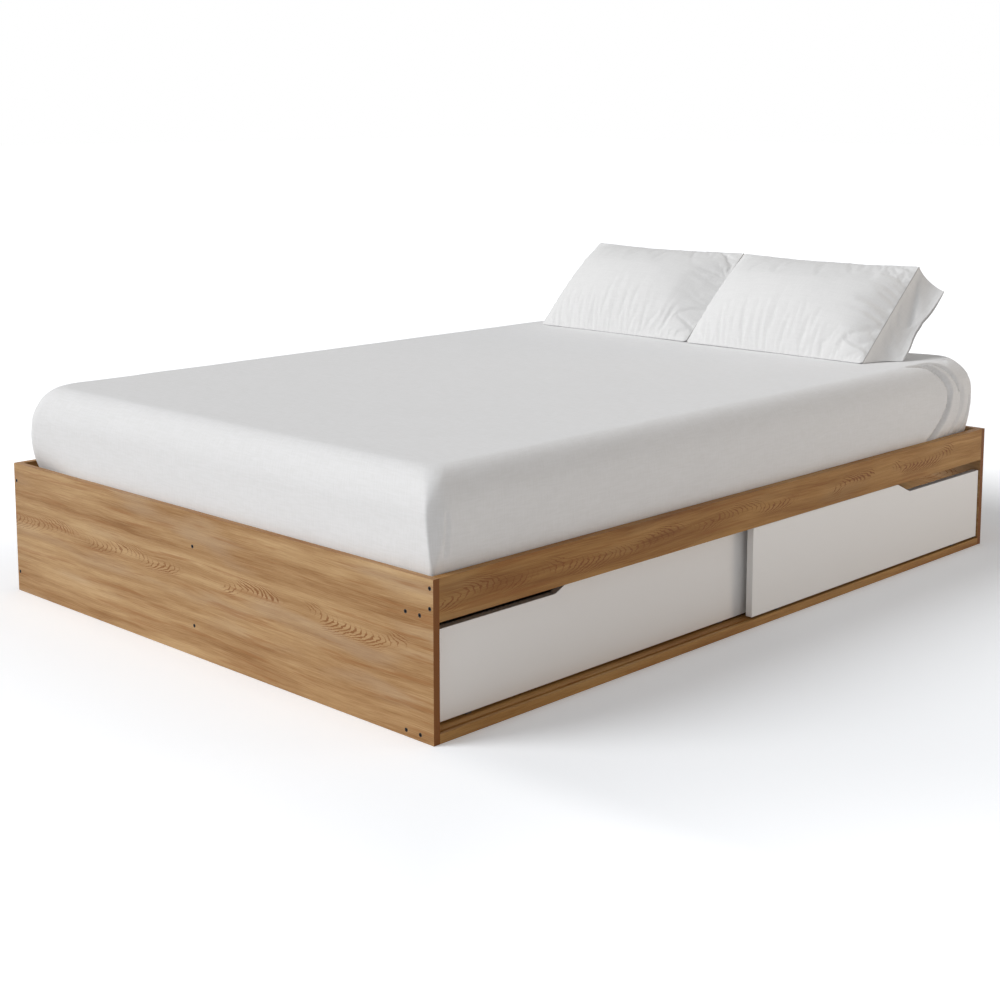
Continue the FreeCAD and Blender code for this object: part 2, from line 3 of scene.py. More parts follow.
import bpy
import numpy as np
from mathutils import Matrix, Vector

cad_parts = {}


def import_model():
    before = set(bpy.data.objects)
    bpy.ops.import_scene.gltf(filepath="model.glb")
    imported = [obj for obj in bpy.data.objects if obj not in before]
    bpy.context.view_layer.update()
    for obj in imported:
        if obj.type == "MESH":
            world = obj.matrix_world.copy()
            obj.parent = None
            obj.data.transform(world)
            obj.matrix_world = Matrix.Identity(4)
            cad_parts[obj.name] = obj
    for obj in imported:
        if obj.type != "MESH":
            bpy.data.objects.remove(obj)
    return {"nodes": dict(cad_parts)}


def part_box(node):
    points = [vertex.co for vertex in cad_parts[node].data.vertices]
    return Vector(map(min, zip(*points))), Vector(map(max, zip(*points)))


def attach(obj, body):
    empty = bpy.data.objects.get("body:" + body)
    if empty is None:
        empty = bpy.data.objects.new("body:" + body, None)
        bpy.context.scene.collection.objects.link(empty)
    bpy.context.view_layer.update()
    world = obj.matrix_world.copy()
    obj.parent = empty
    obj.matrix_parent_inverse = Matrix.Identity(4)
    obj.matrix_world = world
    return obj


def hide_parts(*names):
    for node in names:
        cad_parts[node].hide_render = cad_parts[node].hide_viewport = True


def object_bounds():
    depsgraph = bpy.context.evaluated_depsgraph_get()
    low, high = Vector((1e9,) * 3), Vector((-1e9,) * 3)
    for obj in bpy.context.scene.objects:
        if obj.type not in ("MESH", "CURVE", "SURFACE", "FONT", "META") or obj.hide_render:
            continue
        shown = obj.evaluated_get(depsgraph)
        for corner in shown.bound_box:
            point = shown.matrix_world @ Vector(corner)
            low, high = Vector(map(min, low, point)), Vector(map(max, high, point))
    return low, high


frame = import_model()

# A platform storage bed: finishes for its boards, doors and fittings, and modelled
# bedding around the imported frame. Metres, +Z up, the foot at -Y, the doors at +X.

CAD_BOX = [list(corner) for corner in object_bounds()]
NODES = frame["nodes"]
SLATS = sorted(name for name in NODES if name.startswith("slat_"))
MM = 0.001
TINY = 1e-12


def tint(red, green, blue):
    """A colour given as eight-bit display values, in the linear values that shaders use."""
    shares = [value / 255 for value in (red, green, blue)]
    return tuple(s / 12.92 if s <= 0.04045 else ((s + 0.055) / 1.055) ** 2.4 for s in shares)


def with_settings(made, **settings):
    """What was made, with its settings by name, in their order."""
    for name, setting in settings.items():
        setattr(made, name, setting)
    return made


def placed(name, data, place=(0, 0, 0), turn=(0, 0, 0)):
    """An object in the scene."""
    piece = bpy.data.objects.new(name, data)
    piece.location = place
    piece.rotation_euler = turn
    bpy.context.scene.collection.objects.link(piece)
    return piece


# Materials

class Flow:
    """A socket of a finish. Arithmetic on it adds Math nodes."""

    def __init__(self, finish, socket):
        self.finish = finish
        self.socket = socket

    def __add__(self, other):
        return self.finish.math("ADD", self, other)

    def __sub__(self, other):
        return self.finish.math("SUBTRACT", self, other)

    def __rsub__(self, other):
        return self.finish.math("SUBTRACT", other, self)

    def __mul__(self, other):
        return self.finish.math("MULTIPLY", self, other)

    def __abs__(self):
        return self.finish.math("ABSOLUTE", self)

    __radd__ = __add__
    __rmul__ = __mul__


class Finish:
    """The nodes of a material, round its one Principled shader, or of a world."""

    def __init__(self, name, kind="materials"):
        self.owner = getattr(bpy.data, kind).new(name)
        self.owner.use_nodes = True
        self.tree = self.owner.node_tree

    def feed(self, socket, given):
        if isinstance(given, Flow):
            self.tree.links.new(given.socket, socket)
        elif socket.type == "RGBA":
            socket.default_value = (*given, 1.0)
        else:
            socket.default_value = given

    def node(self, kind, inputs=(), output=0, stops=(), **settings):
        """A node of a kind: its settings and ramp stops, then values or links by socket."""
        made = with_settings(self.tree.nodes.new(kind), **settings)
        for index, (place, colour) in enumerate(stops):
            ramp = made.color_ramp.elements
            stop = ramp[index] if index < len(ramp) else ramp.new(place)
            stop.position = place
            stop.color = (*colour, 1.0)
        for key, given in dict(inputs).items():
            self.feed(made.inputs[key], given)
        return None if output is None else Flow(self, made.outputs[output])

    def math(self, operation, *values):
        return self.node("ShaderNodeMath", enumerate(values), operation=operation)

    def parts(self, vector, axes="XYZ"):
        return [self.node("ShaderNodeSeparateXYZ", {0: vector}, axis) for axis in axes]

    def place(self):
        """The three object coordinates, by the names of their axes."""
        return dict(zip("XYZ", self.parts(self.node("ShaderNodeTexCoord", output="Object"))))

    def flat(self):
        """The two coordinates of the piece's flat map, in metres."""
        return self.parts(self.node("ShaderNodeUVMap", uv_map="cloth"), "XY")

    def facing(self, axis):
        """How far the surface faces along an axis, either way, from 0 to 1."""
        return abs(self.parts(self.node("ShaderNodeNewGeometry", output="Normal"), axis)[0])

    def noise(self, x, y, z, scale, detail=2.0, roughness=0.5):
        at = self.node("ShaderNodeCombineXYZ", {0: x, 1: y, 2: z})
        return self.node("ShaderNodeTexNoise", {"Vector": at, "Scale": scale, "Detail": detail,
                                                "Roughness": roughness})

    def grain(self, scale, detail=2.0):
        """Noise over the object's own coordinates."""
        return self.noise(*self.place().values(), scale, detail)

    def ramp(self, factor, stops):
        return self.node("ShaderNodeValToRGB", {0: factor}, stops=stops)

    def step(self, value, low, high):
        """0 below low, 1 above high and smooth between them."""
        return self.node("ShaderNodeMapRange", {"Value": value, "From Min": low, "From Max": high},
                         interpolation_type="SMOOTHSTEP")

    def mix(self, factor, first, second, blend="MIX"):
        return self.node("ShaderNodeMix", {0: factor, 6: first, 7: second}, 2,
                         data_type="RGBA", blend_type=blend)

    def bump(self, height, distance, strength=1.0):
        return self.node("ShaderNodeBump", {"Height": height, "Distance": distance,
                                            "Strength": strength})

    def finish(self, **sockets):
        """Sets the shader's own sockets, by their names with _ for a blank."""
        shader = self.tree.nodes["Principled BSDF"]
        for name, given in sockets.items():
            self.feed(shader.inputs[name.replace("_", " ")], given)
        return self.owner


def grain_axes(finish, axes):
    """Coordinates along a board's grain, across it and through the board. On the board's
    ends the grain turns to follow their longer edge."""
    along, across, through = axes
    at = finish.place()
    end = finish.step(finish.facing(along), 0.45, 0.55)
    side = 1 - end
    return (at[along] * side + at[across] * end, at[across] * side + at[through] * end,
            at[through] * side, end)


OAK_TONES = ((0.34, tint(208, 174, 130)), (0.45, tint(191, 154, 109)),
             (0.54, tint(173, 134, 90)), (0.63, tint(152, 110, 66)), (0.74, tint(128, 87, 49)))
OAK_MILK = tint(192, 167, 140)
OAK_FLAME = tint(156, 104, 58)
OAK_PORE = tint(126, 86, 49)
OAK_FIGURE = tint(136, 86, 44)
OAK_EDGE_AND_SHADE = tint(122, 70, 19)
ARCH_CURVE = 105.0
RING_TURN = 360.0
FIGURE_NARROWNESS = 1500.0


def oak_foil(name, axes, figure_line, shift, edge_and_shade_ways, shade_tone=(1, 1, 1)):
    """Oak-patterned foil: wide tonal stripes, straight fine streaks, orange streaks and pale
    veils, and along one line clusters of nested arches, drawn more on one side of it than on
    the other. An arch is a parabola: the distance along the grain plus the square of that
    across times its curve, and a sine of it draws the rings. The ends are darker. A shade tone
    multiplied over the pattern is painted shade, and faces that look along the given ways are
    a little darker: a darker edge colour, and painted shade from the mattress above them."""
    finish = Finish(name)
    a, b, c, end = grain_axes(finish, axes)
    a = a + shift

    def drawn(over, stretch, *sizes):
        """Noise drawn out along the grain."""
        return finish.noise(a, over * stretch, c * stretch, *sizes)

    drift = drawn(b, 2.0, 1.4) - 0.5
    ripple = drawn(b, 2.0, 9.0) - 0.5
    grit = drawn(b, 3.0, 60.0) - 0.5
    wavy = b + drift * 0.04 + ripple * 0.003
    off_line = wavy - figure_line + ripple * 0.022
    arch = a + off_line * off_line * ARCH_CURVE + ripple * 0.05
    rings = finish.math("SINE", arch * RING_TURN + drift * 20.0 + grit * 7.0) * 0.5 + 0.5
    cluster = finish.step(finish.noise(a, 0.5, 0.5, 4.4, 1.0), 0.43, 0.57)
    band = finish.math("EXPONENT", off_line * off_line * -FIGURE_NARROWNESS)
    side = finish.noise(a, 4.0, 1.5, 3.0, 1.0) - 0.5
    one_sided = finish.step(off_line * side, -0.0004, 0.0008) * 0.75 + 0.25
    figure = finish.step(rings + cluster * band * one_sided * 0.75, 1.05, 1.42)

    broad = drawn(wavy, 8.0, 1.5)
    streak = drawn(wavy, 15.0, 2.8, 6.0, 0.56)
    fine = drawn(wavy, 40.0, 14.0, 3.0, 0.65)
    flames = finish.step(drawn(wavy, 22.0, 3.4, 4.0, 0.60), 0.55, 0.64)
    pores = finish.step(drawn(wavy, 34.0, 52.0, 1.0), 0.62, 0.76)
    milk = finish.step(drawn(b, 5.5, 3.1), 0.50, 0.72)

    depth = broad * 0.32 + streak * 0.52 + fine * 0.32 - 0.08
    colour = finish.ramp(depth, OAK_TONES)
    for share, laid_over in ((milk * 0.36, OAK_MILK), (flames * 0.46, OAK_FLAME),
                             (pores * 0.26, OAK_PORE), (figure * 0.86, OAK_FIGURE)):
        colour = finish.mix(share, colour, laid_over)
    # Painted shade: the shade tone is multiplied over the whole pattern, making it darker and
    # browner
    colour = finish.mix(1.0, colour, shade_tone, "MULTIPLY")
    edge = end * 0.97
    # The ends take the darker edge colour. Faces along the given ways take a share of it, part edge
    # colour and part painted shade
    for way in edge_and_shade_ways:
        edge = finish.math("MAXIMUM", edge, finish.step(finish.facing(way), 0.45, 0.55) * 0.35)
    colour = finish.mix(edge, colour, OAK_EDGE_AND_SHADE)
    rough = 0.46 + streak * 0.14 + pores * 0.1
    dent = finish.bump(fine * 0.4 + streak * 0.3 - pores * 0.9 - figure * 0.4, 0.00012)
    return finish.finish(Base_Color=colour, Roughness=rough, Normal=dent, Specular_IOR_Level=0.24)


def planed_pine(name, axes):
    """Planed softwood: yellow growth lines, a few knots and a paler sapwood."""
    finish = Finish(name)
    a, b, c, end = grain_axes(finish, axes)
    drift = finish.noise(a * 1.4, b * 5.0, c * 5.0, 2.0) - 0.5
    wavy = b + drift * 0.02
    lines = finish.math("SINE", wavy * 700.0 + finish.noise(a, b, c, 4.0) * 18.0) * 0.5 + 0.5
    board = finish.noise(a * 0.6, b * 3.0, c * 3.0, 7.0)
    cells = finish.node("ShaderNodeTexVoronoi", {
        "Vector": finish.node("ShaderNodeCombineXYZ", {0: a * 3.2, 1: b * 9.0, 2: c * 9.0}),
        "Scale": 1.0}, "Distance")
    knot = 1 - finish.step(cells, 0.03, 0.11)
    fibre = finish.noise(a, wavy * 40.0, c * 40.0, 22.0, 3.0, 0.6)
    colour = finish.ramp(lines * 0.45 + board * 0.4 + fibre * 0.2, (
        (0.2, tint(230, 205, 160)), (0.55, tint(216, 182, 130)), (0.9, tint(188, 148, 96))))
    colour = finish.mix(knot * 0.75, colour, tint(120, 78, 42))
    colour = finish.mix(end * 0.3, colour, tint(186, 150, 104))
    return finish.finish(Base_Color=colour, Roughness=0.62 + fibre * 0.15,
                         Normal=finish.bump(fibre + lines * 0.3, 0.0002))


def white_board(name):
    """Satin white melamine with a faint orange-peel skin. Faces that look up or down turn grey:
    painted shade of the door edges under the rail and in the finger pulls.
    """
    finish = Finish(name)
    peel = finish.grain(900.0)
    cloud = finish.grain(3.0, 3.0)
    colour = finish.mix(cloud * 0.3, tint(249, 248, 247), tint(243, 241, 239))
    # Painted shade: the faces that look up or down are mixed towards grey
    edge = finish.step(finish.facing("Z"), 0.25, 0.45)
    colour = finish.mix(edge * 0.85, colour, tint(190, 190, 194))
    return finish.finish(Base_Color=colour, Roughness=0.36 + cloud * 0.1,
                         Normal=finish.bump(peel, 0.00003), Specular_IOR_Level=0.45)


def cloth_weave(finish, across, along, thread):
    """Height of a plain weave: two crossed sines whose threads go over and under."""
    turn = math.pi / thread
    slub = finish.noise(across, along, 0.0, 90.0)
    warp = finish.math("SINE", across * turn + slub * 2.0)
    weft = finish.math("SINE", along * turn + slub * 2.0)
    return abs(warp * weft) * 0.6 + slub * 0.5


# Painted shade of a seam's crease, and the widths over which its line fades
SEAM_PAINTED_SHADE = tint(150, 147, 144)
SEAM_WIDTH = (0.8 * MM, 2.2 * MM)


def cotton(name, thread, light, shade, seams=()):
    """Plain woven cotton on the piece's own flat map: slubs along both threads, soft clouds
    and faint creasing. At the seams' distances across the map, darker lines are painted shade of
    the crease there."""
    finish = Finish(name)
    across, along = finish.flat()
    weave = cloth_weave(finish, across, along, thread)
    slub_up = finish.noise(across * 9.0, along, 0.0, 34.0, 3.0, 0.6)
    slub_over = finish.noise(across, along * 9.0, 0.4, 34.0, 3.0, 0.6)
    cloud = finish.noise(across, along, 0.3, 6.0, 3.0)
    speckle = slub_up * 0.5 + slub_over * 0.5
    worn = finish.step(speckle, 0.36, 0.64)
    colour = finish.mix(worn * 0.75 + cloud * 0.3, shade, light)
    for seam in seams:
        # Painted shade: a darker line along each seam
        line = 1 - finish.step(abs(across - seam), *SEAM_WIDTH)
        colour = finish.mix(line * 0.45, colour, SEAM_PAINTED_SHADE)
    crush = finish.noise(across, along, 0.7, 16.0, 3.0)
    return finish.finish(
        Base_Color=colour, Roughness=0.88 - speckle * 0.08,
        Normal=finish.bump(weave * 0.2 + speckle * 0.22 + crush * 1.4, 0.0006, 0.6),
        Sheen_Weight=0.15, Sheen_Roughness=0.5, Specular_IOR_Level=0.15)


def ticking(name, light, line):
    """Mattress ticking: a knitted ground with fine stripes on the piece's own flat map."""
    finish = Finish(name)
    across, along = finish.flat()
    stripe = finish.step(finish.math("SINE", across * 260.0), 0.7, 0.95)
    knit = cloth_weave(finish, across, along, 0.0016)
    cloud = finish.noise(across, along, 0.1, 6.0, 3.0)
    colour = finish.mix(stripe * 0.45 + cloud * 0.15, light, line)
    return finish.finish(Base_Color=colour, Roughness=0.9,
                         Normal=finish.bump(knit + stripe * 0.4, 0.0005, 0.7),
                         Sheen_Weight=0.2)


def screw_zinc(name, face):
    """Zinc screw heads; what lies deeper than the outer face, the drive recess, is painted near
    black as painted shade.
    """
    finish = Finish(name)
    recess_painted_shade = finish.step(face - abs(finish.place()["Y"]), 0.00004, 0.0003)
    speck = finish.grain(1400.0)
    colour = finish.mix(speck * 0.4, tint(34, 34, 36), tint(24, 24, 26))
    # Painted shade: the recess turns near black and loses its metal
    colour = finish.mix(recess_painted_shade, colour, tint(5, 5, 6))
    return finish.finish(Base_Color=colour, Metallic=(1 - recess_painted_shade) * 0.3,
                         Roughness=0.42 + speck * 0.2, Normal=finish.bump(speck, 0.00004))


def zinc(name):
    """Plain zinc-plated steel with a fine grain."""
    finish = Finish(name)
    speck = finish.grain(900.0, 3.0)
    colour = finish.mix(speck * 0.5, tint(202, 202, 198), tint(140, 140, 138))
    return finish.finish(Base_Color=colour, Metallic=0.9, Roughness=0.3 + speck * 0.25,
                         Normal=finish.bump(speck, 0.00005))


def moulded(name, colour, scuff):
    """Moulded nylon: a fine matt grain, slightly polished where it rubs."""
    finish = Finish(name)
    grit = finish.grain(1600.0)
    wear = finish.grain(120.0, 3.0)
    shade = finish.mix(wear * 0.5, colour, scuff)
    return finish.finish(Base_Color=shade, Roughness=0.42 + wear * 0.2,
                         Normal=finish.bump(grit, 0.00005))


# Meshes

def surface(name, patches, material, inside=None):
    """A mesh of grids of points. Each patch is (points, flat map), rows by columns. Points
    that coincide are made one, a quad's repeated corners are dropped, and each grid is
    turned so that it faces away from the inside point, or else from the points' mean."""
    starts = np.cumsum([0] + [points[..., 0].size for points, _ in patches])
    places = np.concatenate([points.reshape(-1, 3) for points, _ in patches])
    flats = np.concatenate([flat.reshape(-1, 2) for _, flat in patches])
    middle = places.mean(0) if inside is None else np.array(inside)
    quads = []
    for start, (points, _) in zip(starts, patches):
        index = start + np.arange(points[..., 0].size).reshape(points.shape[:2])
        faces = np.stack([index[:-1, :-1], index[:-1, 1:], index[1:, 1:], index[1:, :-1]], -1)
        normal = np.cross(points[1:, 1:] - points[:-1, :-1], points[1:, :-1] - points[:-1, 1:])
        facing_out = ((points[:-1, :-1] - middle) * normal).sum() > 0
        quads.append(faces.reshape(-1, 4)[:, ::1 if facing_out else -1])
    quads = np.concatenate(quads)
    _, first, same = np.unique(np.round(places / (0.02 * MM)).astype(np.int64), axis=0,
                               return_index=True, return_inverse=True)
    corners = same.ravel()[quads]
    kept = corners != np.roll(corners, 1, axis=1)
    whole = kept.sum(1) >= 3
    corners, kept, quads = corners[whole], kept[whole], quads[whole]
    mesh = bpy.data.meshes.new(name)
    mesh.vertices.add(len(first))
    mesh.vertices.foreach_set("co", places[first].astype(np.float32).ravel())
    mesh.loops.add(int(kept.sum()))
    mesh.loops.foreach_set("vertex_index", corners[kept].astype(np.int32))
    mesh.polygons.add(len(quads))
    ends = np.cumsum(kept.sum(1))
    mesh.polygons.foreach_set("loop_start", np.concatenate([[0], ends[:-1]]).astype(np.int32))
    mesh.polygons.foreach_set("use_smooth", np.ones(len(quads), bool))
    mesh.update(calc_edges=True)
    flat_map = mesh.uv_layers.new(name="cloth")
    flat_map.data.foreach_set("uv", flats[quads[kept]].astype(np.float32).ravel())
    mesh.materials.append(material)
    return placed(name, mesh)


def smoothed(value, low, high):
    """0 below low, 1 above high, and 3t^2 - 2t^3 between them."""
    t = np.clip((value - low) / (high - low), 0, 1)
    return t * t * (3 - 2 * t)


def crowded(count, share):
    """Places from -1 to 1 that crowd at the ends: a share of a sine and the rest even."""
    even = np.linspace(-1, 1, count)
    return np.sin(even * np.pi / 2) * share + even * (1 - share)


def bell(value):
    return np.exp(-value ** 2)


def rounded_path(points):
    """A path with its corners cut by quarters three times, its two ends kept."""
    path = np.array(points, float)
    for _ in range(3):
        near = path[:-1] * 0.75 + path[1:] * 0.25
        far = path[:-1] * 0.25 + path[1:] * 0.75
        cut = np.stack([near, far], 1).reshape(-1, path.shape[1])
        path = np.concatenate([path[:1], cut, path[-1:]])
    return path


def from_path(across, up, points):
    """Signed distance from a rounded path, positive on the left of its travel, and the share
    of the path at the nearest place."""
    path = rounded_path(points)
    step = np.diff(path, axis=0)
    gap = np.stack([across, up], -1)[..., None, :] - path[:-1]
    t = np.clip((gap * step).sum(-1) / (step ** 2).sum(-1), 0, 1)
    gap -= t[..., None] * step
    side = step[:, 0] * gap[..., 1] - step[:, 1] * gap[..., 0]
    away = np.hypot(gap[..., 0], gap[..., 1])
    nearest = away.argmin(-1)[..., None]
    return [np.take_along_axis(values, nearest, -1)[..., 0]
            for values in (np.sign(side) * away, (np.arange(len(step)) + t) / len(step))]


def fold(across, up, points, width, depth, lip, start_taper=0.25, end_taper=0.25):
    """Height of a fold along a path: a groove that falls off as a bell curve, and a lip
    beside it, both fading over a share of the path at its ends."""
    signed, share = from_path(across, up, points)
    ends = smoothed(share, 0, start_taper) * smoothed(1 - share, 0, end_taper)
    return (lip * bell(signed / width - 1.7) - depth * bell(signed / width)) * ends


TUCK_STEP = 3.0 * MM
TUCK_FLOOR_END = (0.72, 1.2)
TUCK_RIDGE = 1.35


def tuck(across, up, points, width, depth, lip, slant):
    """Height of a fold that laps over itself along a path that runs down: to its left a
    rounded lip, then a step down, and to its right a floor that climbs by the slant's share
    of the depth over the width, and from there up to a low ridge."""
    signed, share = from_path(across, up, points)
    ends = smoothed(share, 0, 0.25) * smoothed(1 - share, 0, 0.12)
    climb = signed / (width * (0.35 + 0.65 * ends))
    right = smoothed(signed, -TUCK_STEP, TUCK_STEP)
    drop = (-depth * (1 - slant * np.clip(climb, 0, 1)) * (1 - smoothed(climb, *TUCK_FLOOR_END))
            + 0.4 * lip * bell((climb - TUCK_RIDGE) / 0.5))
    rise = lip * bell(np.minimum(signed, 0) / (1.6 * width))
    return (right * drop + (1 - right) * rise) * ends


def outward(points):
    """Unit normals of a closed ring of profiles, from its rows and columns."""
    down = np.gradient(points, axis=0)
    over = np.roll(points, -1, axis=1) - np.roll(points, 1, axis=1)
    normal = np.cross(over, down)
    return normal / np.maximum(np.linalg.norm(normal, axis=-1, keepdims=True), TINY)


SWELL_WAVES = 7


def swell(x, y, seed, size):
    """Slow undulation from -1 to 1: sines of seeded directions and phases, about as long as
    the size."""
    draw = np.random.RandomState(seed)
    total = np.zeros(np.broadcast(x, y).shape)
    for _ in range(SWELL_WAVES):
        angle = draw.uniform(0, np.pi)
        phase = draw.uniform(0, 2 * np.pi)
        turn = 2 * np.pi / (size * draw.uniform(0.6, 1.6))
        total += np.sin((x * np.cos(angle) + y * np.sin(angle)) * turn + phase)
    return total / SWELL_WAVES


# Mattress and fitted sheet

SHEET_LOW, SHEET_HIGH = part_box("fitted_sheet")
SHEET_HALF_X = (SHEET_HIGH.x - SHEET_LOW.x) / 2
SHEET_HALF_Y = (SHEET_HIGH.y - SHEET_LOW.y) / 2
SHEET_ROUND = 4 * (SHEET_HALF_X + SHEET_HALF_Y)
SHEET_BOTTOM = SHEET_LOW.z
SHEET_TOP = SHEET_HIGH.z
HEM_WIDTH = 0.09
SHEET_THICKNESS = 0.0012
ROLL_DEPTH = 0.061
ROLL_HEIGHT = 0.084
UNDER_DEPTH = 0.02
UNDER_HEIGHT = 0.028
WIDEST_HEIGHT = 0.375
FOLD_CLEARANCE = 0.01
CORE_INSET = 3.4 * MM
END_CROWDING = 0.74
CORNER_SPAN = (0.01, 0.24)
CREASE_SPAN = (0.11, 0.19)
SHEET_ROWS, SHEET_COUNTS = {"hem": 4, "bottom": 6, "side": 32, "roll": 30}, (110, 250)
CORE_ROWS, CORE_COUNTS = {"hem": 3, "bottom": 6, "side": 20, "roll": 20}, (64, 128)

# By corner, from the foot left one by the foot right and head right to the head left one: how
# far it narrows below, its radii at four heights, and its share of the roll's depth in x and y
CORNER_NARROWING = (0.022, 0.003, 0.018, 0.02)
RADIUS_HEIGHTS = (0.29, 0.36, 0.43, SHEET_TOP)
CORNER_RADII = ((0.011, 0.041, 0.061, 0.064), (0.008, 0.011, 0.018, 0.03),
                (0.01, 0.034, 0.034, 0.055), (0.011, 0.038, 0.052, 0.066))
CORNER_ROLL = ((0.94, 0.94), (1.0, 1.0), (1.0, 0.30), (1.0, 1.0))


def bed_profile(inset, rows):
    """From the hem's inner edge round the bottom, up the side and over the roll: inset from
    the outline, height, how much the corners narrow, and whether the row is on the roll."""
    under = np.linspace(1, 0, rows["hem"], endpoint=False)
    turn = np.linspace(0, np.pi / 2, rows["bottom"], endpoint=False)
    rise = np.linspace(0, 1, rows["side"], endpoint=False)
    roll = np.linspace(0, np.pi / 2, rows["roll"])
    low_side = SHEET_BOTTOM + UNDER_HEIGHT
    high_side = SHEET_TOP - ROLL_HEIGHT
    height = np.concatenate([
        np.full(len(under), SHEET_BOTTOM),
        SHEET_BOTTOM + UNDER_HEIGHT * (1 - np.cos(turn)),
        low_side + (high_side - low_side) * rise,
        high_side + ROLL_HEIGHT * np.sin(roll)])
    depth = np.concatenate([
        UNDER_DEPTH + (HEM_WIDTH - UNDER_DEPTH) * under,
        UNDER_DEPTH * (1 - np.sin(turn)),
        np.zeros(len(rise)),
        ROLL_DEPTH * (1 - np.cos(roll))])
    narrow = np.clip((WIDEST_HEIGHT - height) / (WIDEST_HEIGHT - low_side), 0, 1) ** 1.6
    return (depth + inset, np.clip(height, SHEET_BOTTOM + inset, SHEET_TOP - inset), narrow,
            height > high_side)


def side_shares(count):
    """Even places along a side from -1 to 1 less a sine, so that they crowd at its ends."""
    t = np.linspace(0, 1, count + 1)
    return 2 * (t - END_CROWDING * np.sin(2 * np.pi * t) / (2 * np.pi)) - 1


def rounded_side(share, half_along, half_across, radius):
    """A side of a rounded rectangle, with half of each corner's arc at its ends."""
    place = share * half_along
    from_corner = half_along - np.abs(place)
    turn = np.pi / 4 * np.clip(1 - from_corner / radius, 0, 1)
    bent = np.sign(place) * (half_along - radius + radius * np.sin(turn))
    return np.where(from_corner < radius, bent, place), half_across - radius + radius * np.cos(turn)


def bed_ring(profile, count_x, count_y):
    """The bedding's four sides as one closed ring of profiles, from its foot left corner by
    the foot, right, head and left sides: points, distance round the ring and up the
    profile. The first column isn't repeated at the end."""
    depth, height, narrow, rolling = (value[:, None] for value in profile)
    columns, around = [], []
    start = 0.0
    for side in range(4):
        half_along, half_across = ((SHEET_HALF_X, SHEET_HALF_Y) if side % 2 == 0
                                   else (SHEET_HALF_Y, SHEET_HALF_X))
        share = side_shares(count_x if side % 2 == 0 else count_y)[None, :-1]
        near = 1 - smoothed(half_along * (1 - np.abs(share)), *CORNER_SPAN)
        own, beside = (1, 0) if side % 2 == 0 else (0, 1)

        def by_corner(values):
            """A corner's value on each half of the side."""
            return np.where(share < 0, values[side], values[(side + 1) % 4])

        tucked = narrow * by_corner(CORNER_NARROWING) * near
        rolled = 1 - rolling * (1 - by_corner([roll[own] for roll in CORNER_ROLL])) * near
        rolled_beside = 1 - rolling * (1 - by_corner([roll[beside] for roll in CORNER_ROLL]))
        radius = by_corner([np.interp(height, RADIUS_HEIGHTS, radii) for radii in CORNER_RADII])
        along, across = rounded_side(share, half_along - depth * rolled_beside - tucked,
                                     half_across - depth * rolled - tucked, radius)
        x, y = ((along, -across), (across, along), (-along, across), (-across, -along))[side]
        columns.append(np.stack([x, y, height + 0 * along], -1))
        around.append(start + half_along * (1 + share[0]))
        start += 2 * half_along
    ring = np.concatenate(columns, 1)
    around = np.concatenate(around)[None, :] + 0 * height
    return ring, around, run_up(profile)[:, None] + 0 * around


def top_grid(edge, count_x, count_y):
    """The flat top inside a ring's row: the blends of its opposite sides less the blend of
    its four corners."""
    corner = np.cumsum([0, count_x, count_y, count_x, count_y])
    closed = np.concatenate([edge, edge[:1]])
    foot, right, head, left = (closed[corner[i]:corner[i + 1] + 1] for i in range(4))
    head, left = head[::-1], left[::-1]
    s = (side_shares(count_x)[None, :, None] + 1) / 2
    t = (side_shares(count_y)[:, None, None] + 1) / 2
    edges = (1 - t) * foot[None] + t * head[None] + (1 - s) * left[:, None] + s * right[:, None]
    corners = ((1 - s) * (1 - t) * foot[0] + s * (1 - t) * foot[-1]
               + (1 - s) * t * head[0] + s * t * head[-1])
    return edges - corners


# The sheet's folds at each corner: paths that run down, as distance past the corner along
# the ring (negative before it) and height, then width, depth, lip and slant
FOOT_RIGHT_TUCKS = (
    (((0.034, 0.412), (0.033, 0.376), (0.028, 0.332)), 0.013, 0.0056, 0.0004, 1.0),
    (((0.08, 0.38), (0.12, 0.345), (0.18, 0.318)), 0.016, 0.001, 0.0006, 1.0))
HEAD_RIGHT_TUCKS = (
    (((-0.25, 0.4835), (-0.192, 0.476), (-0.152, 0.442), (-0.142, 0.405), (-0.156, 0.365),
      (-0.205, 0.324), (-0.262, 0.29)), 0.02, 0.03, 0.004, 0.15),
    (((-0.19, 0.4835), (-0.135, 0.476), (-0.104, 0.448), (-0.092, 0.41)), 0.015, 0.018, 0.003, 0.2),
    (((-0.088, 0.44), (-0.078, 0.397), (-0.09, 0.34), (-0.125, 0.29)), 0.018, 0.007, 0.0024, 0.8),
    (((-0.07, 0.483), (-0.046, 0.466), (-0.034, 0.436)), 0.014, 0.009, 0.004, 0.6),
    (((-0.04, 0.40), (-0.04, 0.35), (-0.058, 0.30)), 0.014, 0.006, 0.002, 0.8),
    (((0.06, 0.47), (0.075, 0.42), (0.07, 0.36), (0.10, 0.305)), 0.018, 0.008, 0.003, 0.8))
HEAD_LEFT_TUCKS = (
    (((-0.105, 0.475), (-0.085, 0.425), (-0.09, 0.36), (-0.12, 0.305)), 0.018, 0.009, 0.003, 0.7),
    (((0.05, 0.478), (0.085, 0.44), (0.12, 0.38), (0.175, 0.32)), 0.018, 0.008, 0.003, 0.8))
FOOT_LEFT_TUCKS = (
    (((-0.06, 0.44), (-0.05, 0.39), (-0.055, 0.33)), 0.018, 0.005, 0.002, 1.0),
    (((0.012, 0.44), (0.014, 0.39), (0.01, 0.33), (0.008, 0.29)), 0.016, 0.0022, 0.001, 1.0))

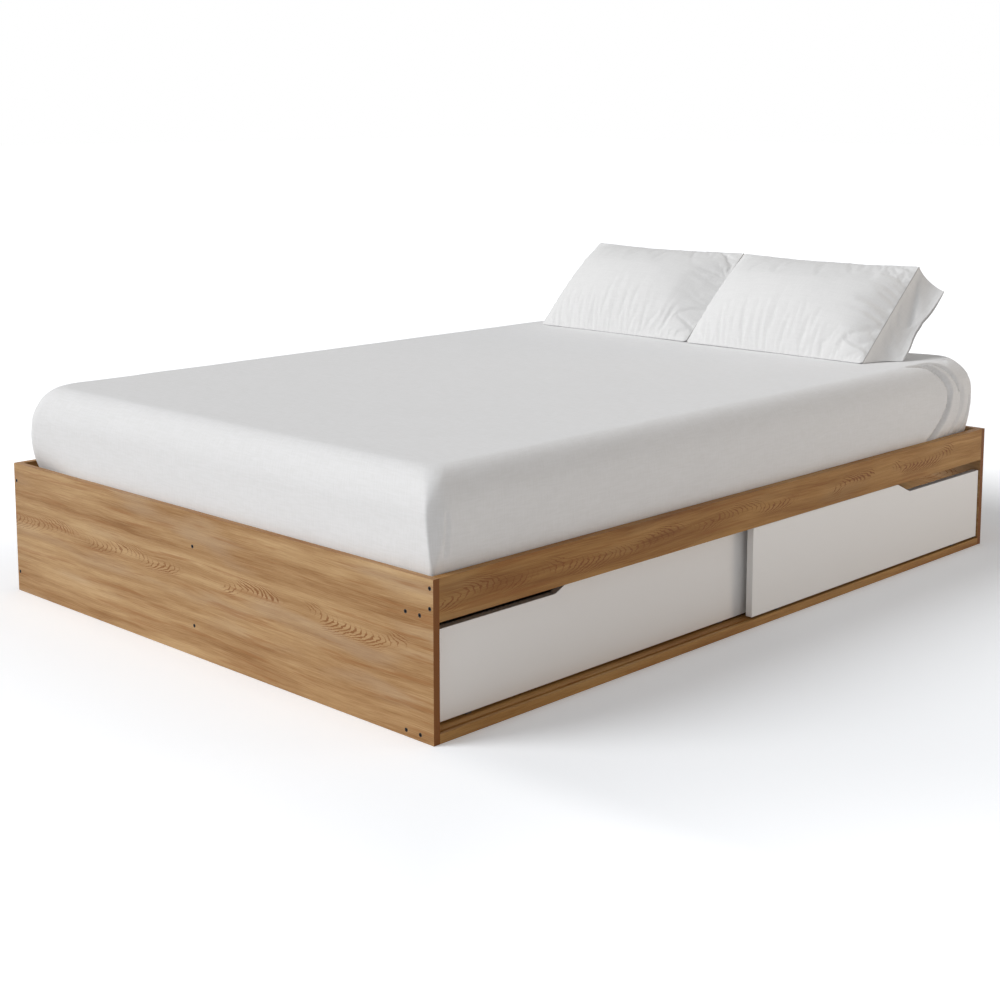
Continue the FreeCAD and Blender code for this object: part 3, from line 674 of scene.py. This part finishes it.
# The foot right corner's crease: how far it stands from the corner on each face, by height
CREASE_HEIGHTS = (0.276, 0.31, 0.354, 0.397, 0.432, 0.46, 0.484)
CREASE_FOOT = (0.002, 0.006, 0.011, 0.016, 0.02, 0.026, 0.032)
CREASE_SIDE = (0.006, 0.012, 0.022, 0.03, 0.04, 0.056, 0.07)
CREASE_SOFTNESS = (0.0016, 0.0016, 0.0018, 0.0048, 0.011, 0.017, 0.02)


def flatten_crease(ring):
    """Draws the foot right corner's cloth straight from the crease on the foot face to a
    line on the right face: what stands out of that chamfer is laid on it, softly."""
    height = ring[..., 2]
    on_foot = np.interp(height, CREASE_HEIGHTS, CREASE_FOOT)
    on_side = np.interp(height, CREASE_HEIGHTS, CREASE_SIDE)
    slant = np.hypot(on_foot, on_side)
    out_x, out_y = on_side / slant, -on_foot / slant
    from_x, from_y = ring[..., 0] - SHEET_HALF_X, ring[..., 1] + SHEET_HALF_Y
    past = (from_x + on_foot) * out_x + from_y * out_y
    soft = np.interp(height, CREASE_HEIGHTS, CREASE_SOFTNESS)
    over = (past + np.sqrt(past ** 2 + soft ** 2)) / 2 - soft / 4
    over = np.maximum(over, 0)
    close = 1 - smoothed(np.hypot(from_x, from_y), *CREASE_SPAN)
    ring[..., 0] -= over * out_x * close
    ring[..., 1] -= over * out_y * close
    return ring


def sheet_relief(around, up, ring, profile):
    """How far the sheet stands out of its smooth form: folds and a slow undulation, none of
    it on the hem or where the roll meets the flat top."""
    corner_places = (*np.cumsum([SHEET_HALF_X, SHEET_HALF_Y, SHEET_HALF_X]) * 2, 0.0)
    flat = ring[..., 0] * 0.8 + ring[..., 1]
    relief = (0.0009 * swell(flat, ring[..., 2], 11, 0.17)
              + 0.0005 * swell(flat, ring[..., 2], 12, 0.06))
    corner_folds = (FOOT_RIGHT_TUCKS, HEAD_RIGHT_TUCKS, HEAD_LEFT_TUCKS, FOOT_LEFT_TUCKS)
    for place, folds in zip(corner_places, corner_folds):
        past = (around - place + SHEET_ROUND / 2) % SHEET_ROUND - SHEET_ROUND / 2
        for path, *sizes in folds:
            lifted = [(gap, profile_up(profile, level)) for gap, level in path]
            relief = relief + tuck(past, up, lifted, *sizes)
    return relief * smoothed(up, 0.05, 0.13) * smoothed(up.max() - up, 0, 0.014)


def run_up(profile):
    """Distance up the profile at each of its rows."""
    steps = np.hypot(np.diff(profile[0]), np.diff(profile[1]))
    return np.concatenate([[0], np.cumsum(steps)])


def profile_up(profile, wanted):
    """Distance up the profile at a height on the side or the roll."""
    rising = np.searchsorted(profile[1], SHEET_BOTTOM + 0.1 * MM)
    return np.interp(wanted, profile[1][rising:], run_up(profile)[rising:])


def bedding_piece(name, inset, rows, counts, material, closed):
    """The sheet's surface, a ring and a top, or with a bottom the mattress's, which stays
    behind the deepest fold within FOLD_CLEARANCE."""
    profile = bed_profile(inset, rows)
    ring, around, up = bed_ring(profile, *counts)
    ring = flatten_crease(ring)
    shifts = (-FOLD_CLEARANCE, 0.0, FOLD_CLEARANCE) if closed else (0.0,)
    relief = np.minimum.reduce([sheet_relief(around + over, up + rise, ring, profile)
                                for over in shifts for rise in shifts])
    ring = ring + outward(ring) * relief[..., None]
    top = top_grid(ring[-1], *counts)
    top_map = top[..., :2].copy()
    inner = (smoothed(SHEET_HALF_X - np.abs(top[..., 0]), ROLL_DEPTH, 3 * ROLL_DEPTH)
             * smoothed(SHEET_HALF_Y - np.abs(top[..., 1]), ROLL_DEPTH, 3 * ROLL_DEPTH))
    top[..., 2] += 0.0008 * swell(top[..., 0], top[..., 1], 5, 0.42) * inner
    wrapped, *ring_map = [np.concatenate([values, values[:, :1] + more], 1)
                          for values, more in ((ring, 0), (around, SHEET_ROUND), (up, 0))]
    patches = [(wrapped, np.stack(ring_map, -1)), (top, top_map)]
    if closed:
        bottom = top_grid(ring[0], *counts)
        patches.append((bottom, bottom[..., :2].copy()))
    return surface(name, patches, material)


def fitted_sheet(material):
    """The fitted sheet: its form, its folds and the thickness of its hem."""
    sheet = bedding_piece("sheet_cover", 0.0, SHEET_ROWS, SHEET_COUNTS, material, False)
    with_settings(sheet.modifiers.new("hem", "SOLIDIFY"), thickness=SHEET_THICKNESS, offset=-1,
                  use_rim_only=True)
    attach(sheet, "bedding")
    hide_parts("fitted_sheet")


def mattress_core(material):
    """The mattress inside the sheet, with the sheet's form and closed underneath."""
    core = bedding_piece("mattress_core", CORE_INSET, CORE_ROWS, CORE_COUNTS, material, True)
    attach(core, "bedding")
    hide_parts("mattress")


# Pillows and their cases

PILLOW_LENGTHS = {"left": 0.533, "right": 0.551}
PILLOW_HEIGHT = 0.345
PILLOW_LEAN = math.radians(41.0)
FRONT_CROWN = 0.072
BACK_CROWN = 0.11
DRAWN_IN = 0.009
CORNER_ROUND = 0.009
SEAM_LIFT = 0.0008
REST_GAP = 0.0006
PILLOW_PLACES = {"left": (-0.5665, 0.675), "right": (-0.0245, 0.665)}
SHOULDER_SHARES = {"left": 1.18, "right": 0.80}
FLAP_LENGTHS = {"left": 0.006, "right": 0.057}
FLAP_DROP = 0.069
FLAP_RISE = 0.032
FLAP_HEM_HEIGHT = 0.246
FLAP_EDGE = 0.002
FLAP_MOUTH = 0.007
CASE_THICKNESS = 1.0 * MM
CORE_GAP = 0.014
CORE_FLATNESS = 0.9
CORE_REST = 2.2 * MM
CROWN_POWER = 1.1
BOW_POWER = 0.86
WAVER_SEEDS = {"left": 51, "right": 52}
SWELL_SEEDS = {"left": 31, "right": 37}
WRINKLE_SEEDS = {"left": 3, "right": 8}
GATHER_STRETCH = {"left": 1.12, "right": 1.0}

# The cases' cloth: pressure from inside, and 1.2 % of spare fabric as a negative shrink
CASE_CLOTH = {
    "quality": 5, "mass": 0.3, "tension_stiffness": 12, "compression_stiffness": 12,
    "shear_stiffness": 4, "bending_stiffness": 0.08, "vertex_group_mass": "seam",
    "use_pressure": True, "uniform_pressure_force": 3.0, "shrink_min": -0.012}
CASE_FRAMES = 18
CASE_REACH = 0.006
SEAM_DEPTH = 0.002

# Folds of a case's loose end: paths by shares of its length and of its half height, then
# width, depth, lip and tapers. The last one is its stitched hem line
FLAP_FOLDS = (
    (((0.03, 0.96), (0.33, 0.55), (0.62, 0.12), (0.74, -0.14)), 0.14, 0.0062, 0.0042),
    (((0.05, -0.38), (0.45, -0.70), (0.80, -0.97)), 0.09, 0.0042, 0.0032),
    (((0.04, -0.10), (0.32, -0.36), (0.58, -0.60)), 0.075, 0.003, 0.0026),
    (((0.05, 0.25), (0.22, 0.02), (0.42, -0.22)), 0.08, 0.0026, 0.0022),
    (((0.84, -1.0), (0.84, 1.0)), 0.018, 0.0006, 0.0, 0.01, 0.01))


def pillow_frame(side):
    """The lower seam's plain corner, and the pillow's directions along, up and out."""
    x, y = PILLOW_PLACES[side]
    start = np.array([x, y, SHEET_TOP + SEAM_LIFT])
    up = np.array([0.0, math.cos(PILLOW_LEAN), math.sin(PILLOW_LEAN)])
    out = np.array([0.0, -math.sin(PILLOW_LEAN), math.cos(PILLOW_LEAN)])
    return start, up, out


def in_place(side, along, rise, out_by):
    """Points of a pillow from its own coordinates: along it, up its face and out of it."""
    start, up, out = pillow_frame(side)
    points = start + along[..., None] * np.array([1.0, 0, 0]) + rise[..., None] * up
    return points + out_by[..., None] * out


def pillow_half(side, front, shares, rises, inset):
    """One face of a pillow: its crown is an ellipse along it and a bowed arc up it, the long
    seams draw in towards the middle and waver, and the corners are rounded. Returns along,
    up and out arrays."""
    length = PILLOW_LENGTHS[side]
    t, s = np.meshgrid(shares, rises, indexing="ij")
    swing = np.sqrt(np.clip(1 - (2 * t - 1) ** 2, 0, 1))
    crown = swing ** CROWN_POWER
    shoulder = (0.052 + 0.048 * (1 - s ** 2)) * (0.35 + 0.65 * smoothed(s, -1.0, -0.62))
    ramp = 0.88 * (1 - t) * length / (shoulder * SHOULDER_SHARES[side])
    if front:
        crown = (crown + ramp - np.sqrt((crown - ramp) ** 2 + 0.004)) / 2
        crown = np.maximum(crown, 0) * smoothed(1 - t, 0, 0.004)
    from_end = np.minimum(t, 1 - t) * length
    corner = CORNER_ROUND - np.sqrt(np.clip(
        CORNER_ROUND ** 2 - np.clip(CORNER_ROUND - from_end, 0, None) ** 2, 0, None))
    waver = 0.0024 * swell(t * length, s * 0.05, WAVER_SEEDS[side], 0.07) * swing
    drawn = DRAWN_IN * swing ** 2 * smoothed(s, -0.6, 0.6)
    half = PILLOW_HEIGHT / 2 - drawn - corner - inset + waver * (s > 0)
    bow = np.clip(1 - s ** 2, 0, 1) ** BOW_POWER
    tall = (FRONT_CROWN if front else BACK_CROWN) - inset
    along = inset + t * (length - 2 * inset)
    if side == "left":  # A fold stands out of its end seam
        along = along - 0.005 * bell((s - 0.47) / 0.07) * (1 - smoothed(along, 0, 0.03))
    return along, PILLOW_HEIGHT / 2 + s * half, (1 if front else -1) * crown * bow * tall


def pillow_wrinkles(side):
    """A case's wrinkles, each a path with its width, depth, lip and tapers: a fan from the
    lower seam, gathers at the crease, puckers along the two long seams, and along the end."""
    draw = np.random.RandomState(WRINKLE_SEEDS[side])
    length = PILLOW_LENGTHS[side]
    middle = length * 0.44
    wrinkles = []

    def stray(by):
        return draw.uniform(-by, by)

    for place in np.arange(0.03, length - 0.08, 0.02):
        foot = place + stray(0.006)
        tall = draw.uniform(0.09, 0.20) * (1 - 0.45 * abs(foot - middle) / middle)
        spread = (foot - middle) * draw.uniform(-0.04, 0.16) + stray(0.008)
        bend = stray(0.008)
        low = draw.uniform(0.002, 0.04)
        path = ((foot, low), (foot + spread * 0.4 + bend, low + tall * 0.5),
                (foot + spread, low + tall))
        strength = draw.uniform(0.0005, 0.0016)
        width = draw.uniform(0.005, 0.009)
        wrinkles.append((path, width, strength, strength * 0.8, 0.35, 0.75))
    level = 0.02
    while level < PILLOW_HEIGHT - 0.012:
        reach = draw.uniform(0.04, 0.105) * GATHER_STRETCH[side]
        tilt = draw.uniform(-0.022, 0.03)
        bend = stray(0.01)
        path = ((length - 0.001, level), (length - reach * 0.45, level + tilt * 0.3 + bend),
                (length - reach, level + tilt))
        strength = draw.uniform(0.0018, 0.005)
        width = draw.uniform(0.0065, 0.011)
        wrinkles.append((path, width, strength, strength * 0.6, 0.12, 0.7))
        level += draw.uniform(0.014, 0.034)
    for place in np.arange(0.02, length - 0.02, 0.024):
        for level, way in ((0.003, 1), (PILLOW_HEIGHT - 0.003, -1)):
            at = place + stray(0.008)
            reach = draw.uniform(0.012, 0.038)
            path = ((at, level), (at + stray(0.006), level + way * reach))
            wrinkles.append((path, 0.0042, draw.uniform(0.0006, 0.002), 0.0006, 0.2, 0.7))
    for place in np.arange(0.03, PILLOW_HEIGHT - 0.03, 0.026):
        at = place + stray(0.008)
        path = ((0.002, at), (draw.uniform(0.02, 0.055), at + stray(0.008)))
        wrinkles.append((path, 0.0045, draw.uniform(0.0006, 0.0018), 0.0006, 0.2, 0.7))
    return wrinkles


def pillow_relief(side, along, rise):
    """How far a case's front stands out of its crown: a slow undulation and the wrinkles."""
    relief = 0.0011 * swell(along, rise, SWELL_SEEDS[side], 0.12)
    for wrinkle in pillow_wrinkles(side):
        relief += fold(along, rise, *wrinkle)
    return relief


def pillow_patches(side, shares, rises, inset, wrinkled, flatness=1.0):
    """The front and the back of a pillow as patches."""
    patches = []
    for front in (True, False):
        along, rise, out_by = pillow_half(side, front, shares, rises, inset)
        if wrinkled and front:
            from_seam = np.minimum(1, np.abs(out_by) / 0.01)
            out_by = out_by + pillow_relief(side, along, rise) * from_seam
        points = in_place(side, along, rise, out_by * flatness)
        patches.append((points, np.stack([along, rise], -1)))
    return patches


def seat(points, gap=REST_GAP):
    """Points that would sink into the mattress lie on it instead."""
    points[..., 2] = np.maximum(points[..., 2], SHEET_TOP + gap)
    return points


def coordinates(mesh):
    found = np.empty(len(mesh.vertices) * 3, np.float32)
    mesh.vertices.foreach_get("co", found)
    return found.reshape(-1, 3).astype(float)


def set_coordinates(piece, points):
    piece.data.vertices.foreach_set("co", points.astype(np.float32).ravel())
    piece.data.update()


def plump(piece, held):
    """Cloth under pressure: the held points stay, the others move by at most the reach. The
    result is kept as the mesh."""
    rest = coordinates(piece.data)
    piece.vertex_groups.new(name="seam").add(np.flatnonzero(held).tolist(), 1.0, "REPLACE")
    cloth = piece.modifiers.new("cloth", "CLOTH")
    with_settings(cloth.settings, **CASE_CLOTH)
    cloth.settings.effector_weights.gravity = 0
    cloth.collision_settings.use_collision = False
    with_settings(cloth.point_cache, frame_start=1, frame_end=CASE_FRAMES)
    scene = bpy.context.scene
    for number in range(1, CASE_FRAMES + 1):
        scene.frame_set(number)
    shaped = piece.evaluated_get(bpy.context.evaluated_depsgraph_get())
    move = coordinates(shaped.data) - rest
    piece.modifiers.remove(cloth)
    scene.frame_set(1)
    length = np.linalg.norm(move, axis=1, keepdims=True)
    move *= np.minimum(1, CASE_REACH / np.maximum(length, TINY))
    set_coordinates(piece, rest + move)
    piece.vertex_groups.clear()


def pillowcase(side, material):
    """The filled part of a case: two crowned faces that meet at their seams."""
    patches = pillow_patches(side, (1 + crowded(131, 0.5)) / 2, crowded(85, 0.5), 0.0, True)
    case = surface(f"{side}_case_body", patches, material)
    start, _, out = pillow_frame(side)
    plump(case, np.abs((coordinates(case.data) - start) @ out) < SEAM_DEPTH)
    set_coordinates(case, seat(coordinates(case.data)))
    with_settings(case.modifiers.new("fine", "SUBSURF"), levels=1, render_levels=1)
    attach(case, f"{side}_pillow")
    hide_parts(f"{side}_pillowcase")


def case_flap(side, material):
    """The case's loose end: a flattened tube from the crease to its open hem, which hangs
    back and narrows. Soft folds run down it, and a stitched hem line goes round it."""
    t, s = np.meshgrid(np.linspace(0, 1, 41), crowded(81, 0.7), indexing="ij")
    height = PILLOW_HEIGHT - 2 * MM + t * (FLAP_HEM_HEIGHT - PILLOW_HEIGHT)
    rise = PILLOW_HEIGHT / 2 + t * FLAP_RISE + s * height / 2
    hollow = 0.20 * bell((s + 0.20) / 0.45) + 0.06 * bell((s + 0.95) / 0.2)
    reach = t ** 1.8 * (1 - hollow * t)
    bend = 1 - (1 - t) ** 1.35
    edge = np.clip(1 - s ** 2, 0, 1)
    gape = (FLAP_EDGE + t * (FLAP_MOUTH - FLAP_EDGE)) / 2 * edge ** 0.6
    folds = sum(fold(t, s, *sizes) for sizes in FLAP_FOLDS)
    folds = folds * smoothed(t, 0, 0.10) * edge ** 0.4
    length = PILLOW_LENGTHS[side]
    patches = []
    for way in (1, -1):
        out_by = way * gape - bend * FLAP_DROP + folds
        points = in_place(side, length + reach * FLAP_LENGTHS[side], rise, out_by)
        patches.append((seat(points), np.stack([t * FLAP_DROP, rise], -1)))
    flap = surface(f"{side}_case_flap", patches, material)
    with_settings(flap.modifiers.new("wall", "SOLIDIFY"), thickness=CASE_THICKNESS, offset=0)
    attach(flap, f"{side}_pillow")


def pillow_core(side, material):
    """The pillow inside its case, smaller all round and flatter."""
    patches = pillow_patches(side, np.linspace(0, 1, 31), np.linspace(-1, 1, 21), CORE_GAP,
                             False, CORE_FLATNESS)
    for points, _ in patches:
        seat(points, CORE_REST)
    core = surface(f"{side}_pillow_core", patches, material)
    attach(core, f"{side}_pillow")
    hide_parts(f"{side}_pillow")


# Small fasteners of the deck

SLAT_SCREW_RADIUS = 0.004
SLAT_SCREW_HEIGHT = 0.0009


def slat_screws(material):
    """A countersunk screw in each slat over the cleat, the beam and the ledge board: a low
    dome turned round its axis, with a dimple for its drive."""
    profile = np.array([(0.0, -0.55), (0.30, -0.55), (0.38, 0.9), (0.72, 0.75), (1.0, 0.0)])
    turn = np.linspace(0, 2 * np.pi, 13)
    flat = SLAT_SCREW_RADIUS * profile[:, :1, None] * np.stack([np.cos(turn), np.sin(turn)], -1)
    lift = np.broadcast_to(SLAT_SCREW_HEIGHT * profile[:, 1:, None], flat.shape[:2] + (1,))
    screw = np.concatenate([flat, lift], -1)
    carriers = [sum(corner.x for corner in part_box(name)) / 2
                for name in ("left_slat_cleat", "centre_beam_cap", "ledge_board")]
    patches = []
    for slat in SLATS:
        low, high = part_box(slat)
        y = (low.y + high.y) / 2
        patches += [(screw + np.array((x, y, high.z)), flat) for x in carriers]
    piece = surface("slat_screws", patches, material, inside=(0, 0, 0))
    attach(piece, "frame")


# Dressing the CAD nodes

def dress(material, *names):
    """Gives CAD nodes a finish."""
    for name in names:
        mesh = NODES[name].data
        mesh.materials.clear()
        mesh.materials.append(material)


def soften(width, *names):
    """Rounds the arrises of CAD nodes: their triangles are joined and flattened first."""
    for name in names:
        add = NODES[name].modifiers.new
        with_settings(add("weld", "WELD"), merge_threshold=0.005 * MM)
        with_settings(add("flatten", "DECIMATE"), decimate_type="DISSOLVE",
                      angle_limit=math.radians(1))
        with_settings(add("arris", "BEVEL"), width=width, segments=2, limit_method="ANGLE",
                      angle_limit=math.radians(40))


def dress_frame():
    end_boards = ("foot_panel", "head_panel")
    upright = ("left_side_panel", "right_top_rail", "centre_beam_web")
    flat = ("ledge_board", "base_board", "centre_beam_cap")
    # Painted shade: the oak of the upright and flat boards is multiplied darker and browner
    shaded = (0.80, 0.67, 0.42)
    # The end boards and the partition have their upward faces darkened a little, part edge colour
    # and part painted shade
    dress(oak_foil("oak_foil_end_boards", "XZY", 0.172, 0.31, "Z"), *end_boards)
    dress(oak_foil("oak_foil_upright_boards", "YZX", 0.262, 0.13, "", shaded), *upright)
    dress(oak_foil("oak_foil_flat_boards", "YXZ", 0.64, 0.47, "", shaded), *flat)
    dress(oak_foil("oak_foil_partition", "XZY", 0.12, 0.05, "Z"), "storage_partition")
    soften(0.5 * MM, *upright, *flat, "storage_partition")
    dress(planed_pine("planed_pine_slats", "XYZ"), *SLATS)
    dress(planed_pine("planed_pine_cleat", "YZX"), "left_slat_cleat")
    soften(1.5 * MM, *SLATS, "left_slat_cleat")
    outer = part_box("foot_panel_screws")[0].y
    dress(screw_zinc("zinc_panel_screws", abs(outer)), "foot_panel_screws", "head_panel_screws")


def ending(*ends):
    """The CAD nodes whose names end so."""
    return [name for name in NODES if name.endswith(ends)]


def dress_doors():
    dress(white_board("white_melamine"), *ending("_door_panel"))
    soften(0.6 * MM, *ending("_door_panel"))
    dress(moulded("nylon_dark", tint(74, 74, 76), tint(58, 58, 60)),
          *ending("_guide", "_roller_housing"))
    # The wheels are white nylon, and their dark grey is painted shade
    dress(moulded("nylon_wheel_painted_shade", tint(92, 92, 94), tint(74, 74, 76)), *ending("_wheel"))
    dress(zinc("zinc_axle"), *ending("_roller_axle"))


# Floor, light and camera

CAMERA_PLACE = (2.7727, -2.9413, 1.1206)
CAMERA_PITCH = math.radians(8.231)
CAMERA_YAW = math.radians(44.135)
CAMERA_LENS = 60.81
CAMERA_SHIFT = -0.15
WORLD_LIGHT = 0.42
FLOOR_REACH = 40.0
FLOOR_DEPTH = 0.4 * MM
FRAME_HALF_X = CAD_BOX[1][0]
FRAME_HALF_Y = CAD_BOX[1][1]


def background_seen(finish):
    """1 for the rays that see a background: camera, glossy and transmission rays."""
    seen, glossy, through = (finish.node("ShaderNodeLightPath", output=f"Is {kind} Ray")
                             for kind in ("Camera", "Glossy", "Transmission"))
    return finish.math("MINIMUM", seen + glossy + through, 1.0)


def floor():
    """A pale floor that keeps the bed's shadow. For camera, glossy and transmission rays it glows
    as painted light that grows away from the bed's footprint, more on the foot and left sides
    and more slowly on the door side, so that painted shade stretches further there; those rays
    also see a bluish colour against the warm cast of the lamps and the oak.
    """
    finish = Finish("pale_floor")
    seen = background_seen(finish)
    at = finish.place()
    past = finish.math("MAXIMUM", abs(at["X"]) - FRAME_HALF_X, abs(at["Y"]) - FRAME_HALF_Y)
    # Painted light: a glow just clear of the footprint, more far off and on the foot and left sides
    clear = finish.step(past, -0.014, -0.002)
    foot_side = finish.step(at["Y"], -0.90, -1.05)
    left_side = finish.step(at["X"], -0.66, -0.76)
    # Painted shade: on the door side the far glow grows more slowly
    shaded_side = finish.step(at["X"], 0.0, 1.0) * finish.step(at["Y"], -1.1, -0.3)
    far = finish.step(past * (1 - shaded_side * 0.36), 0.15, 1.00)
    painted_floor_light = clear * 0.13 + far * 0.27 + finish.math("MAXIMUM", foot_side, left_side) * 0.12
    # The bluish colour that these rays see cancels the warm cast of the light
    finish.finish(Base_Color=finish.mix(seen, tint(232, 232, 232), tint(248, 251, 255)),
                  Roughness=0.9, Specular_IOR_Level=0.0, Emission_Strength=1.0,
                  Emission_Color=finish.mix(seen * painted_floor_light, (0, 0, 0), (1, 1, 1)))
    corners = np.stack(np.meshgrid((-FLOOR_REACH, FLOOR_REACH), (-FLOOR_REACH, FLOOR_REACH)), -1)
    points = np.concatenate([corners, np.full((2, 2, 1), -FLOOR_DEPTH)], -1)
    surface("floor", [(points, corners)], finish.owner, inside=(0, 0, -1))


def world():
    """White where it is seen, and a plain level where it lights."""
    finish = Finish("studio", "worlds")
    finish.tree.nodes.clear()
    light = finish.node("ShaderNodeBackground", {"Strength": WORLD_LIGHT})
    white = finish.node("ShaderNodeBackground", {"Color": (1, 1, 1)})
    blend = finish.node("ShaderNodeMixShader", {0: background_seen(finish), 1: light, 2: white})
    finish.node("ShaderNodeOutputWorld", {"Surface": blend}, output=None)
    bpy.context.scene.world = finish.owner


def lamp(name, kind, power, colour, place, aim, **settings):
    """A lamp at a place whose own -Z is turned to a point. It isn't seen itself."""
    light = bpy.data.lights.new(name, kind)
    with_settings(light, energy=power, color=colour, **settings)
    x, y, z = [there - here for here, there in zip(place, aim)]
    turn = (math.atan2(math.hypot(x, y), -z), 0, math.atan2(-x, y))
    placed(name, light, place, turn).visible_camera = False


def camera():
    """The photograph's view."""
    lens = with_settings(bpy.data.cameras.new("camera"), lens=CAMERA_LENS, shift_y=CAMERA_SHIFT)
    turn = (math.pi / 2 - CAMERA_PITCH, 0, CAMERA_YAW)
    bpy.context.scene.camera = placed("camera", lens, CAMERA_PLACE, turn)


def main():
    white = cotton("white_cotton_sheet", 0.0007, tint(243, 243, 244), tint(236, 236, 236))
    case_tints = (tint(238, 238, 238), tint(233, 233, 233))
    case_cloth = cotton("white_cotton_cases", 0.0006, *case_tints)
    # The flaps carry a painted shade line at the crease where they leave the case's body
    flap_cloth = cotton("white_cotton_flaps", 0.0006, *case_tints, seams=(0.8 * MM,))
    mattress_core(ticking("mattress_ticking", tint(234, 232, 226), tint(196, 200, 206)))
    fitted_sheet(white)
    pillow_ticking = ticking("pillow_ticking", tint(240, 238, 232), tint(206, 210, 216))
    for side in ("left", "right"):
        pillow_core(side, pillow_ticking)
        pillowcase(side, case_cloth)
        case_flap(side, flap_cloth)
    slat_screws(zinc("zinc_slat_screws"))
    dress_frame()
    dress_doors()
    floor()
    world()
    lamp("key", "SUN", 1.93, (1, 1, 1), (0, 0, 0), (0.50, 0.72, -0.70), angle=math.radians(30))
    lamp("fill", "AREA", 73, (1.0, 0.825, 0.65), (5.4, 4.6, 1.1), (0.6, 0.0, 0.2), size=2.4)
    lamp("bay_glow", "AREA", 0.045, (1.0, 0.95, 0.88), (0.46, 0.60, 0.13), (0.56, 0.96, 0.15),
         size=0.06, spread=math.radians(44))
    camera()
    bpy.context.scene.view_settings.view_transform = "Standard"


main()
